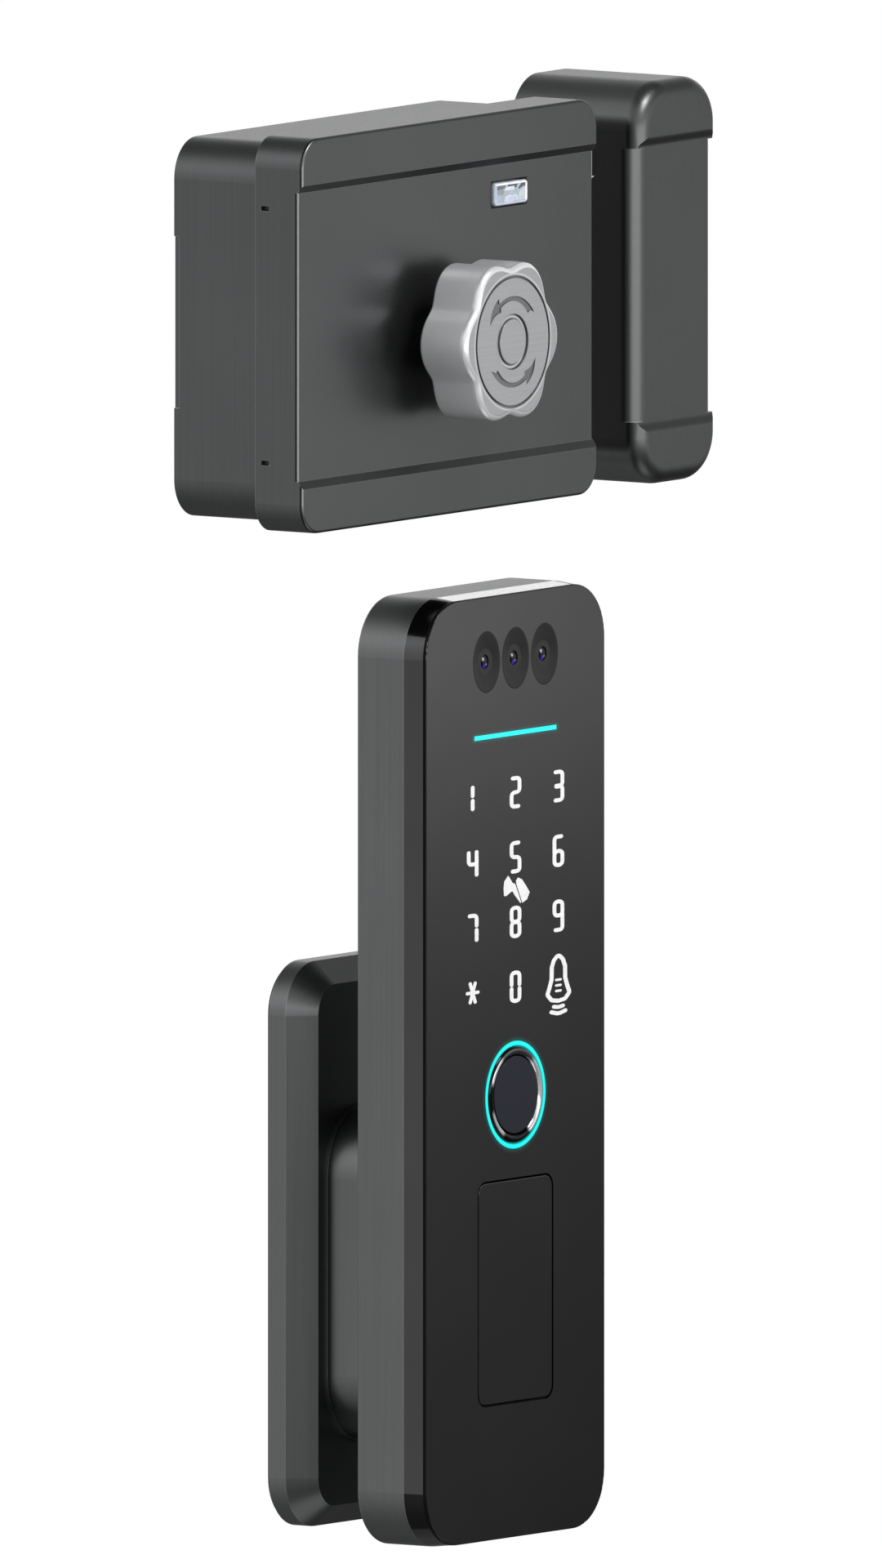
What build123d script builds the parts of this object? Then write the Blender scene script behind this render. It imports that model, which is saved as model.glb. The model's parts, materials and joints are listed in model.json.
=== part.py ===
from build123d import *
import math
import os

# Keypad smart lock set: an outdoor handle unit, an indoor rim lock and its keeper, all mounted on
# one door face, the plane Y = 0. Millimetres, +Z up, +X to the right of a person facing the lock.
# A "depth" is a distance in front of the door face, towards that person, so Y = -depth.
# The origin is the centre of the handle unit's back plate on the door face.

# ---- outdoor unit: back plate and neck ----
PLATE_W, PLATE_H, PLATE_R = 68.0, 143.0, 13.0
GASKET_FRONT = 1.0
PLATE_SIDE, PLATE_FRONT = 5.95, 12.2
PLATE_BEVEL = 5.5
PLATE_CAVITY_FRONT = 8.7
BASE_T = 2.0
POST_PITCH = 112.0
POST_HOLE_R = 2.5
BASE_SCREW_X, BASE_SCREW_Z = 22.0, 50.0
NECK_W, NECK_H, NECK_R, NECK_Z = 50.0, 84.0, 17.0, -7.8
NECK_FRONT = 32.2
NECK_WALL = 3.0
NECK_SCREW_X, NECK_SCREW_DZ = 19.0, 27.0
PASSAGE_H, PASSAGE_W, PASSAGE_Z = 64.0, 26.0, -4.0
CABLE_R, CABLE_Z = 3.5, 16.0

# ---- outdoor unit: handle ----
HANDLE_W, HANDLE_H, HANDLE_R, HANDLE_Z = 82.0, 240.0, 14.5, 46.0
SHELL_BACK = NECK_FRONT + 3.0
SHELL_FRONT = 46.5
TRIM_FRONT, GLASS_FRONT = 51.9, 52.9
GLASS_INSET = 0.6
TRIM_OPEN_W, TRIM_OPEN_H, TRIM_OPEN_R = 72.0, 230.0, 9.5
CHASSIS_BACK, CHASSIS_FRONT = 44.5, 50.3
CHASSIS_POSTS = [(side * 31.0, z) for side in (-1, 1) for z in (-62.0, 46.0, 154.0)]
BOARD_POSTS = [(side * 26.0, 96.0 + up * 40.0) for side in (-1, 1) for up in (-1, 1)]
CAMERA_PITCH, CAMERA_Z = 13.1, 149.0
CAMERA_RX, CAMERA_RZ = 6.0, 7.7
LENS_R = 1.8
LIGHT_BAR_L, LIGHT_BAR_H, LIGHT_BAR_Z = 37.0, 1.1, 130.0
FINGER_Z = 38.5
RING_LIGHT_R, RING_LIGHT_INNER_R = 13.65, 12.45
BEZEL_R, BEZEL_INNER_R, BEZEL_CROWN = 12.15, 10.25, 0.5
SENSOR_R, SENSOR_PROUD = 9.8, 0.2
SENSOR_BODY_R, SENSOR_BODY_BACK, SENSOR_BODY_FRONT = 13.9, 47.0, 49.5

# ---- outdoor unit: key hatch, pocket and cylinder ----
HATCH_W, HATCH_H, HATCH_R, HATCH_Z = 33.2, 56.1, 3.0, -11.0
HATCH_GAP = 0.5
HATCH_BACK = 50.6
HINGE_DEPTH, HINGE_DROP = 50.9, 5.0
HINGE_Z = HATCH_Z + HATCH_H / 2 - HINGE_DROP
HINGE_PIN_R, HINGE_BARREL_R = 0.6, 1.5
POCKET_W, POCKET_H, POCKET_WALL = 34.0, 57.0, 2.1
POCKET_BACK, POCKET_FLOOR = 38.5, 40.5
KEY_Z = -22.0
CYLINDER_R, PLUG_R, TAIL_R = 11.0, 6.5, 5.0
CYLINDER_BACK, CYLINDER_STEP, CYLINDER_FRONT = 2.2, 12.0, 44.5
USB_Z = 6.0

# ---- indoor rim lock: casings ----
LOCK_X, LOCK_Z = -10.75, 235.5
CASE_W, CASE_H, CASE_R, CASE_FRONT = 129.5, 96.0, 10.0, 25.9
CASE_WALL = 2.5
CASE_RIGHT = LOCK_X + CASE_W / 2
CASE_INNER_RIGHT = CASE_RIGHT - CASE_WALL
COVER_W, COVER_H, COVER_R = 133.5, 100.0, 7.5
COVER_FRONT, COVER_RECESS, COVER_BAND, COVER_RAMP = 40.2, 1.4, 11.6, 1.9
COVER_FACE = COVER_FRONT - COVER_RECESS
COVER_INSIDE = COVER_FACE - 2.5
COVER_EDGE = 0.8
CLIPS = [(-1, 203.3), (-1, 267.7), (1, 215.0), (1, 256.0)]
CLIP_STRIP_T, CLIP_STRIP_BACK, CLIP_STRIP_H = 1.2, 24.6, 5.0
CLIP_HOOK_BACK, CLIP_FRONT, CLIP_HOOK_H, CLIP_SINK = 27.85, 30.05, 1.06, 1.3
MOUNT_X, MOUNT_Z, MOUNT_DX, MOUNT_DZ, MOUNT_HOLE_R = -24.0, 246.0, 38.0, 30.0, 2.6
CASE_CABLE_X, CASE_CABLE_Z = -40.0, 272.0

# ---- indoor rim lock: knob, gears and bolt ----
KNOB_X, KNOB_Z = -10.75, 230.2
KNOB_BACK, KNOB_FRONT = 45.3, 59.3
KNOB_TIP_R, KNOB_NOTCH_R, KNOB_LOBES = 21.3, 18.6, 6
KNOB_GROOVE_R, KNOB_GROOVE_INNER_R, KNOB_GROOVE_DEPTH = 16.75, 16.05, 0.45
KNOB_HUB_R, KNOB_HUB_BACK = 8.0, 39.4
KNOB_CAP_SEAT, KNOB_CAP_R, KNOB_CAP_STEP, KNOB_CAP_DISC_R = 56.3, 6.95, 0.5, 5.75
KNOB_SCREW_SEAT, KNOB_ARROW_DEPTH = 54.0, 0.3
SHAFT_R, SHAFT_BACK, SHAFT_FRONT = 5.0, 4.0, 52.0
BUSH_R = 7.0
PRESSURE_ANGLE = math.radians(20)
RACK_MODULE, PINION_TEETH = 1.0, 20
PINION_BACK, PINION_FRONT = 8.0, 14.0
DRIVE_MODULE, DRIVE_TEETH, MOTOR_TEETH = 0.8, 40, 18
DRIVE_BACK, DRIVE_FRONT = 24.0, 28.0
MOTOR_ANGLE = 198.0
BACKLASH = 0.1
BOLT_W, BOLT_H, BOLT_Z = 14.0, 45.0, 235.5
BOLT_BACK = 8.0
BOLT_LEFT, BOLT_NOSE = 41.0, 87.0
RACK_LEFT, RACK_RIGHT, RACK_TOP = -17.0, 47.0, 247.5
PLATE_POSTS = [(-44.0, 211.0), (-44.0, 258.0), (4.0, 210.0), (4.0, 262.0)]
INNER_PLATE_BACK, INNER_PLATE_FRONT = 29.5, 31.0
LATCH_DEPTH, LATCH_Z, LATCH_TIP = 21.8, 266.8, 60.0
LATCH_R, LATCH_NOSE_R, LATCH_STEM_R = 4.5, 3.5, 2.0
LATCH_BORE_LEFT, LATCH_REAR, LATCH_SHOULDER = 27.0, 41.0, 49.8

# ---- indoor rim lock: button, board and cells ----
BUTTON_X, BUTTON_Z, BUTTON_W, BUTTON_H, BUTTON_R = 18.05, 264.45, 15.2, 5.95, 1.3
BUTTON_FRONT = 39.5
BOARD_X, BOARD_Z, BOARD_W, BOARD_H = 29.5, 266.0, 39.0, 24.0
BOARD_BACK, BOARD_FRONT = 31.6, 33.2
CELL_R, CELL_L, CELL_Z = 7.1, 50.5, 197.9
HOLDER_X, HOLDER_W, HOLDER_H = -11.0, 109.0, 15.8

# ---- keeper ----
KEEPER_W, KEEPER_H, KEEPER_R, KEEPER_X, KEEPER_Z = 36.0, 102.0, 12.0, 95.1, 235.9
KEEPER_FRONT, KEEPER_RECESS, KEEPER_BAND, KEEPER_RAMP, KEEPER_EDGE = 39.0, 1.5, 13.4, 3.0, 4.3
KEEPER_LEFT = KEEPER_X - KEEPER_W / 2
KEEPER_INSIDE = 34.5
KEEPER_BASE_T = 2.5
KEEPER_HOLE_PITCH = 76.0
KEEPER_SCREWS = [203.0, 268.0]
KEEPER_SCREW_DEPTH = 7.0
STRIKE_LEFT = KEEPER_LEFT + 3.2


# ---- shared helpers ----
def facing(depth, x=0.0, z=0.0, turn=0.0):
    """Drawing plane parallel to the door, facing away from it, at a depth in front of it."""
    return Plane.XZ.offset(depth).location * Location((x, z, 0), (0, 0, turn))


def block(sketch, back, front, x=0.0, z=0.0, turn=0.0):
    """A front-view sketch extruded from one depth to another."""
    return extrude(facing(back, x, z, turn) * sketch, amount=front - back)


def tapered(sketch, back, front, inset, x=0.0, z=0.0):
    """As block, but drawn in by inset all round at its front."""
    angle = math.degrees(math.atan(inset / (front - back)))
    return extrude(facing(back, x, z) * sketch, amount=front - back, taper=angle)


def discs(radius, back, front, places):
    """Equal round bosses or holes at several (x, z) places."""
    return sum((block(Circle(radius), back, front, x, z) for x, z in places), Part())


def ring(outer, inner, back, front, x=0.0, z=0.0):
    return block(Circle(outer) - Circle(inner), back, front, x, z)


def box(left, right, back, front, low, high):
    """A box from its limits in X, depth and Z."""
    centre = Pos((left + right) / 2, -(back + front) / 2, (low + high) / 2)
    return centre * Box(right - left, front - back, high - low)


def rod_x(radius, left, right, depth, z):
    """A round bar along X."""
    return Pos((left + right) / 2, -depth, z) * Rot(0, 90, 0) * Cylinder(radius, right - left)


def side_prism(points, left, right):
    """A (depth, z) outline seen from the side, extruded along X."""
    outline = Polygon(*[(-depth, z) for depth, z in points], align=None)
    return extrude(Plane.YZ.offset(left).location * outline, amount=right - left, dir=(1, 0, 0))


def edges_at(shape, depth):
    """The edges that lie flat at one depth."""
    return [
        edge
        for edge in shape.edges()
        if abs(edge.bounding_box().min.Y + depth) < 0.01 and abs(edge.bounding_box().max.Y + depth) < 0.01
    ]


def pan_screws(places, seat, head_front, tip, head_r, shank_r):
    """Screws driven towards the door: head from the seat forwards, hexagon socket in the head."""
    heads = discs(head_r, seat, head_front, places)
    shanks = discs(shank_r, tip, seat, places)
    hexagon, floor = RegularPolygon(head_r * 0.45, 6), (seat + head_front) / 2
    sockets = sum((block(hexagon, floor, head_front, x, z) for x, z in places), Part())
    return heads + shanks - sockets


def eased_ramp(steps):
    """Shares of width and of height along a ramp: straight in one step, S-shaped in more."""
    return [(step / steps, (1 - math.cos(math.pi * step / steps)) / 2) for step in range(steps + 1)]


def stepped_box(width, height, corner, front, edge, recess, band, ramp, steps, x, z, back):
    """A rounded casing whose middle is recessed between two raised bands, joined by ramps."""
    outline = RectangleRounded(width, height, corner)
    high = block(outline, back, front, x, z)
    high = fillet(edges_at(high, front), edge)
    low = block(outline, back, front - recess, x, z)
    low = fillet(edges_at(low, front - recess), edge)
    half = height / 2
    foot = half - band - ramp
    bands = Part()
    for side in (-1, 1):
        slope = [
            (front - recess * (1 - rise), z + side * (foot + ramp * share))
            for share, rise in eased_ramp(steps)
        ]
        wedge = [
            (back, z + side * foot),
            *slope,
            (front + 1, z + side * (half - band)),
            (front + 1, z + side * (half + 1)),
            (back, z + side * (half + 1)),
        ]
        bands += side_prism(wedge, x - width, x + width)
    return low + (high & bands)


def involute(radius, base):
    """Involute polar angle at a radius."""
    turn = math.sqrt(max(radius * radius / (base * base) - 1, 0))
    return turn - math.atan(turn)


def gear_outline(module, teeth):
    """Spur gear outline with one tooth centred on local +X."""
    pitch = module * teeth / 2
    base = pitch * math.cos(PRESSURE_ANGLE)
    tip, root = pitch + 0.95 * module, pitch - 1.25 * module
    half_tooth = math.pi / (2 * teeth) - BACKLASH / (2 * pitch) + involute(pitch, base)
    start = max(base, root)
    radii = [start + (tip - start) * step / 5 for step in range(6)]
    flank = [(radius, half_tooth - involute(radius, base)) for radius in radii]
    profile = [(root, flank[0][1])] + flank if root < start else flank
    points = []
    for tooth in range(teeth):
        centre = 2 * math.pi * tooth / teeth
        side = [(radius, centre - angle) for radius, angle in profile]
        side += [(radius, centre + angle) for radius, angle in reversed(profile)]
        points += [(radius * math.cos(angle), radius * math.sin(angle)) for radius, angle in side]
    return make_face(Polyline(*points, close=True))


def gear(module, teeth, bore, back, front, x, z, turn):
    body = block(gear_outline(module, teeth), back, front, x, z, turn)
    return body - block(Circle(bore), back, front, x, z) if bore else body


# ---- outdoor unit: back plate and neck ----
def plate_passage():
    return SlotOverall(PASSAGE_H, PASSAGE_W, rotation=90)


def corner_places(x, z, centre_x=0.0, centre_z=0.0):
    return [(centre_x + side * x, centre_z + up * z) for side in (-1, 1) for up in (-1, 1)]


def neck_screw_places():
    return corner_places(NECK_SCREW_X, NECK_SCREW_DZ, 0.0, NECK_Z)


def post_places():
    return [(0.0, -POST_PITCH / 2), (0.0, POST_PITCH / 2)]


def door_gasket():
    frame = RectangleRounded(PLATE_W - 2, PLATE_H - 2, PLATE_R - 1)
    frame -= RectangleRounded(PLATE_W - 8, PLATE_H - 8, PLATE_R - 4)
    return block(frame, 0, GASKET_FRONT)


def back_plate():
    outline = RectangleRounded(PLATE_W, PLATE_H, PLATE_R)
    body = block(outline, GASKET_FRONT, PLATE_SIDE) + tapered(outline, PLATE_SIDE, PLATE_FRONT, PLATE_BEVEL)
    cavity = RectangleRounded(PLATE_W - 11, PLATE_H - 11, PLATE_R - 4)
    body -= block(cavity, GASKET_FRONT, PLATE_CAVITY_FRONT)
    places = corner_places(BASE_SCREW_X, BASE_SCREW_Z)
    body += discs(4.0, BASE_T, PLATE_CAVITY_FRONT, places)
    body -= discs(1.95, BASE_T, 10.3, places)
    body -= block(plate_passage(), PLATE_CAVITY_FRONT, PLATE_FRONT, 0, PASSAGE_Z)
    body -= discs(2.1, PLATE_CAVITY_FRONT, PLATE_FRONT, neck_screw_places())
    return body


def plate_base():
    body = block(RectangleRounded(PLATE_W - 11.4, PLATE_H - 11.4, PLATE_R - 4.2), 0, BASE_T)
    body -= discs(POST_HOLE_R, 0, BASE_T, post_places())
    body -= block(Circle(6.1), 0, BASE_T, 0, CABLE_Z)
    body -= block(Circle(TAIL_R + 0.5), 0, BASE_T, 0, KEY_Z)
    for x, z in corner_places(BASE_SCREW_X, BASE_SCREW_Z):
        body -= block(Circle(2.1), 0, BASE_T, x, z)
        body -= tapered(Circle(3.9), 0, 1.9, 1.9, x, z)
    return body


def base_screws():
    body = Part()
    for x, z in corner_places(BASE_SCREW_X, BASE_SCREW_Z):
        head = tapered(Circle(3.75), 0.05, 1.85, 1.8, x, z)
        head -= block(RegularPolygon(1.4, 6), 0.05, 1.2, x, z)
        body += head + block(Circle(1.9), 1.85, 9.8, x, z)
    return body


def mounting_posts():
    return discs(5.0, BASE_T, 8.5, post_places()) - discs(POST_HOLE_R, BASE_T, 7.5, post_places())


def grommet(wall, x, z):
    body = block(Circle(6.0), 0, wall, x, z) + block(Circle(8.0), wall, wall + 1.5, x, z)
    return body - block(Circle(CABLE_R), 0, wall + 1.5, x, z)


def cable_grommets():
    return grommet(BASE_T, 0, CABLE_Z) + grommet(CASE_WALL, CASE_CABLE_X, CASE_CABLE_Z)


def neck():
    body = block(RectangleRounded(NECK_W, NECK_H, NECK_R), PLATE_FRONT, NECK_FRONT, 0, NECK_Z)
    foot = RectangleRounded(NECK_W + 2, NECK_H + 2, NECK_R + 1)
    body += block(foot, PLATE_FRONT, PLATE_FRONT + 1.2, 0, NECK_Z)
    inner = RectangleRounded(NECK_W - 2 * NECK_WALL, NECK_H - 2 * NECK_WALL, NECK_R - NECK_WALL)
    body -= block(inner, PLATE_FRONT, NECK_FRONT, 0, NECK_Z)
    body += discs(4.0, PLATE_FRONT, NECK_FRONT, neck_screw_places())
    return body - discs(2.0, PLATE_FRONT, NECK_FRONT, neck_screw_places())


def neck_screws():
    """Screws driven from inside the back plate forwards into the neck."""
    places = neck_screw_places()
    heads = discs(3.5, 6.3, PLATE_CAVITY_FRONT, places)
    sockets = sum((block(RegularPolygon(1.6, 6), 6.3, 7.6, x, z) for x, z in places), Part())
    return heads + discs(1.95, PLATE_CAVITY_FRONT, 23.0, places) - sockets


def handle_screws():
    return pan_screws(neck_screw_places(), SHELL_BACK, SHELL_BACK + 2.4, 25.0, 3.5, 1.95)


# ---- outdoor unit: handle ----
def handle_outline(inset=0.0):
    return RectangleRounded(HANDLE_W - 2 * inset, HANDLE_H - 2 * inset, HANDLE_R - inset)


def handle_shell():
    body = block(handle_outline(), NECK_FRONT, SHELL_FRONT, 0, HANDLE_Z)
    body = fillet(edges_at(body, NECK_FRONT), 0.8)
    body -= block(handle_outline(3.0), SHELL_BACK, SHELL_FRONT, 0, HANDLE_Z)
    body += discs(3.5, SHELL_BACK, CHASSIS_BACK, CHASSIS_POSTS)
    body -= discs(1.5, 37.0, CHASSIS_BACK, CHASSIS_POSTS)
    body += discs(2.5, SHELL_BACK, 38.6, BOARD_POSTS)
    body -= block(plate_passage(), NECK_FRONT, SHELL_BACK, 0, PASSAGE_Z)
    return body - discs(2.1, NECK_FRONT, SHELL_BACK, neck_screw_places())


def trim_frame():
    body = tapered(handle_outline(), SHELL_FRONT, TRIM_FRONT, GLASS_INSET, 0, HANDLE_Z)
    opening = RectangleRounded(TRIM_OPEN_W, TRIM_OPEN_H, TRIM_OPEN_R)
    return body - block(opening, SHELL_FRONT, TRIM_FRONT, 0, HANDLE_Z)


def camera_places():
    return [(side * CAMERA_PITCH, CAMERA_Z) for side in (-1, 0, 1)]


def front_glass():
    body = block(handle_outline(GLASS_INSET), TRIM_FRONT, GLASS_FRONT, 0, HANDLE_Z)
    body = fillet(edges_at(body, GLASS_FRONT), 0.3)
    for x, z in camera_places():
        body -= block(Ellipse(CAMERA_RX + 0.1, CAMERA_RZ + 0.1), TRIM_FRONT, GLASS_FRONT, x, z)
    body -= block(Rectangle(LIGHT_BAR_L + 0.1, LIGHT_BAR_H + 0.1), TRIM_FRONT, GLASS_FRONT, 0, LIGHT_BAR_Z)
    body -= block(Circle(RING_LIGHT_R + 0.05), TRIM_FRONT, GLASS_FRONT, 0, FINGER_Z)
    opening = RectangleRounded(HATCH_W + 2 * HATCH_GAP, HATCH_H + 2 * HATCH_GAP, HATCH_R + HATCH_GAP)
    return body - block(opening, TRIM_FRONT, GLASS_FRONT, 0, HATCH_Z)


def front_chassis():
    flange = RectangleRounded(HANDLE_W - 6.6, HANDLE_H - 6.6, HANDLE_R - 3.3)
    face = RectangleRounded(TRIM_OPEN_W - 0.4, TRIM_OPEN_H - 0.4, TRIM_OPEN_R - 0.2)
    body = block(flange, CHASSIS_BACK, SHELL_FRONT, 0, HANDLE_Z)
    body += block(face, SHELL_FRONT, CHASSIS_FRONT, 0, HANDLE_Z)
    body -= block(RectangleRounded(42, 18, 2), CHASSIS_BACK, CHASSIS_FRONT, 0, CAMERA_Z)
    body -= block(Circle(14.1), CHASSIS_BACK, CHASSIS_FRONT, 0, FINGER_Z)
    pocket = RectangleRounded(POCKET_W + 2 * POCKET_WALL + 0.4, POCKET_H + 2 * POCKET_WALL + 0.4, 5.7)
    body -= block(pocket, CHASSIS_BACK, CHASSIS_FRONT, 0, HATCH_Z)
    body -= block(RectangleRounded(50, 50, 3), CHASSIS_BACK, 48.8, 0, 91)
    body -= discs(1.55, CHASSIS_BACK, CHASSIS_FRONT, CHASSIS_POSTS)
    return body - discs(3.0, 48.0, CHASSIS_FRONT, CHASSIS_POSTS)


def chassis_screws():
    return pan_screws(CHASSIS_POSTS, 48.0, 49.9, 38.0, 2.75, 1.45)


def touch_board():
    body = block(RectangleRounded(64, 70, 2), CHASSIS_FRONT, TRIM_FRONT, 0, 91)
    return body - block(Rectangle(14, 4), CHASSIS_FRONT, CHASSIS_FRONT + 0.6, 0, 60)


def light_bar():
    body = block(Rectangle(LIGHT_BAR_L + 3, LIGHT_BAR_H + 2), CHASSIS_FRONT, TRIM_FRONT, 0, LIGHT_BAR_Z)
    return body + block(Rectangle(LIGHT_BAR_L, LIGHT_BAR_H), TRIM_FRONT, GLASS_FRONT, 0, LIGHT_BAR_Z)


def camera_bezels():
    body = block(RectangleRounded(45, 19, 3), CHASSIS_FRONT, TRIM_FRONT, 0, CAMERA_Z)
    for x, z in camera_places():
        body += block(Ellipse(CAMERA_RX, CAMERA_RZ), TRIM_FRONT, GLASS_FRONT, x, z)
        rim = facing(GLASS_FRONT, x, z) * Ellipse(CAMERA_RX - 0.3, CAMERA_RZ - 0.3)
        floor = facing(GLASS_FRONT - 0.55, x, z) * Ellipse(3.5, 3.51)
        body -= loft([rim.face(), floor.face()])
        body -= block(Circle(LENS_R + 0.05), CHASSIS_FRONT, GLASS_FRONT, x, z)
    return body


def camera_lenses():
    rise, top = 0.35, GLASS_FRONT - 0.5
    ball_r = (LENS_R**2 + rise**2) / (2 * rise)
    body = Part()
    for x, z in camera_places():
        barrel = block(Circle(LENS_R), CHASSIS_FRONT, GLASS_FRONT, x, z)
        body += barrel & (Pos(x, -(top - ball_r), z) * Sphere(ball_r))
    return body


def camera_module():
    body = block(RectangleRounded(48, 24, 2), CHASSIS_BACK - 1.2, CHASSIS_BACK, 0, CAMERA_Z)
    body += discs(4.2, CHASSIS_BACK, CHASSIS_FRONT, camera_places())
    return body + block(Rectangle(14, 3), CHASSIS_BACK - 3.2, CHASSIS_BACK - 1.2, 0, CAMERA_Z)


def main_board():
    body = block(RectangleRounded(60, 88, 2), 38.6, 40.2, 0, 96)
    body += block(Rectangle(14, 14), 40.2, 41.4, -10, 106)
    body += block(Rectangle(9, 7), 40.2, 41.2, 14, 84)
    body += block(Rectangle(7, 9), 40.2, 41.2, 14, 112)
    return body + block(Rectangle(22, 5), 40.2, 43.2, 0, 60)


def speaker():
    body = block(Circle(12), SHELL_BACK, 38.2, 0, -57)
    return body + block(Circle(8), 38.2, 42.5, 0, -57)


def ring_light():
    return ring(RING_LIGHT_R, RING_LIGHT_INNER_R, SENSOR_BODY_FRONT, GLASS_FRONT, 0, FINGER_Z)


def fingerprint_bezel():
    """Chrome ring with a convex crown that stands a little proud of the glass."""
    body = ring(BEZEL_R, BEZEL_INNER_R, SENSOR_BODY_FRONT, GLASS_FRONT, 0, FINGER_Z)
    half = (BEZEL_R - BEZEL_INNER_R) / 2
    crown_r = (half**2 + BEZEL_CROWN**2) / (2 * BEZEL_CROWN)
    depth = GLASS_FRONT + BEZEL_CROWN - crown_r
    torus = Pos(0, -depth, FINGER_Z) * Rot(90, 0, 0) * Torus(BEZEL_INNER_R + half, crown_r)
    return body + (torus & ring(BEZEL_R, BEZEL_INNER_R, GLASS_FRONT, GLASS_FRONT + 1, 0, FINGER_Z))


def fingerprint_sensor():
    front = GLASS_FRONT + SENSOR_PROUD
    pad = block(Circle(SENSOR_R), SENSOR_BODY_FRONT, front, 0, FINGER_Z)
    pad = fillet(edges_at(pad, front), SENSOR_PROUD)
    return pad + block(Circle(SENSOR_BODY_R), SENSOR_BODY_BACK, SENSOR_BODY_FRONT, 0, FINGER_Z)


# ---- outdoor unit: key hatch, pocket and cylinder ----
def key_hatch():
    """Top-hinged flap: glossy face, thinner carrier behind it and a hinge barrel near its top."""
    face = block(RectangleRounded(HATCH_W, HATCH_H, HATCH_R), TRIM_FRONT, GLASS_FRONT, 0, HATCH_Z)
    face = fillet(edges_at(face, GLASS_FRONT), 0.25)
    carrier = RectangleRounded(HATCH_W - 0.6, HATCH_H - 0.6, HATCH_R - 0.3)
    carrier = block(carrier, HATCH_BACK, TRIM_FRONT, 0, HATCH_Z)
    half = (HATCH_W - 0.6) / 2
    barrel = rod_x(HINGE_BARREL_R, -half, half, HINGE_DEPTH, HINGE_Z)
    bore = rod_x(HINGE_PIN_R + 0.06, -half, half, HINGE_DEPTH, HINGE_Z)
    return face + carrier + barrel - bore


def hatch_pin():
    half = POCKET_W / 2 + POCKET_WALL - 0.2
    return rod_x(HINGE_PIN_R, -half, half, HINGE_DEPTH, HINGE_Z)


def key_pocket():
    outer_w, outer_h = POCKET_W + 2 * POCKET_WALL, POCKET_H + 2 * POCKET_WALL
    body = block(RectangleRounded(outer_w, outer_h, 5.5), POCKET_BACK, TRIM_FRONT, 0, HATCH_Z)
    body -= block(RectangleRounded(POCKET_W, POCKET_H, 3.4), POCKET_FLOOR, TRIM_FRONT, 0, HATCH_Z)
    for side in (-1, 1):
        corner = HATCH_Z - POCKET_H / 2 + 1.5
        rest_x = side * (POCKET_W / 2 - 1.9)
        body += block(Rectangle(4, 3.6), POCKET_FLOOR, HATCH_BACK, rest_x, corner + 0.2)
    body -= block(Circle(CYLINDER_R + 0.1), POCKET_BACK, POCKET_FLOOR, 0, KEY_Z)
    body -= block(SlotOverall(9.2, 3.5), POCKET_BACK, POCKET_FLOOR, 0, USB_Z)
    return body - rod_x(HINGE_PIN_R + 0.02, -outer_w, outer_w, HINGE_DEPTH, HINGE_Z)


def usb_port():
    body = block(SlotOverall(9.0, 3.3), 36.5, 41.5, 0, USB_Z)
    body -= block(SlotOverall(8.4, 2.7), 37.0, 41.5, 0, USB_Z)
    body += block(Rectangle(6.6, 0.7), 37.0, 41.0, 0, USB_Z)
    return body + block(Rectangle(16, 9), 35.4, 36.5, 0, USB_Z)


def cylinder_body():
    body = block(Circle(CYLINDER_R), CYLINDER_BACK, CYLINDER_FRONT, 0, KEY_Z)
    body -= block(Circle(PLUG_R + 0.05), CYLINDER_STEP, CYLINDER_FRONT, 0, KEY_Z)
    body -= block(Circle(TAIL_R + 0.05), CYLINDER_BACK, CYLINDER_STEP, 0, KEY_Z)
    return fillet(edges_at(body, CYLINDER_FRONT)[:1], 0.5)


def cylinder_clamp():
    return ring(15.0, CYLINDER_R + 0.05, BASE_T, 6.0, 0, KEY_Z)


def key_plug():
    body = block(Circle(PLUG_R), CYLINDER_STEP, CYLINDER_FRONT + 0.4, 0, KEY_Z)
    return body - block(Rectangle(2.2, 9.0), 18.0, CYLINDER_FRONT + 0.4, 0, KEY_Z)


def key_tail():
    """Drive piece behind the plug, with a square socket for the spindle through the door."""
    body = block(Circle(TAIL_R), 0.3, CYLINDER_STEP, 0, KEY_Z)
    return body - block(Rectangle(6, 6), 0.3, 10.0, 0, KEY_Z)


# ---- indoor rim lock: casings ----
def bolt_window(gap):
    half = BOLT_H / 2 + gap
    return BOLT_BACK - gap, BOLT_BACK + BOLT_W + gap, BOLT_Z - half, BOLT_Z + half


def mount_places():
    return corner_places(MOUNT_DX, MOUNT_DZ, MOUNT_X, MOUNT_Z)


def motor_centre():
    distance = DRIVE_MODULE * (DRIVE_TEETH + MOTOR_TEETH) / 2
    angle = math.radians(MOTOR_ANGLE)
    return KNOB_X + distance * math.cos(angle), KNOB_Z + distance * math.sin(angle)


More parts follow.
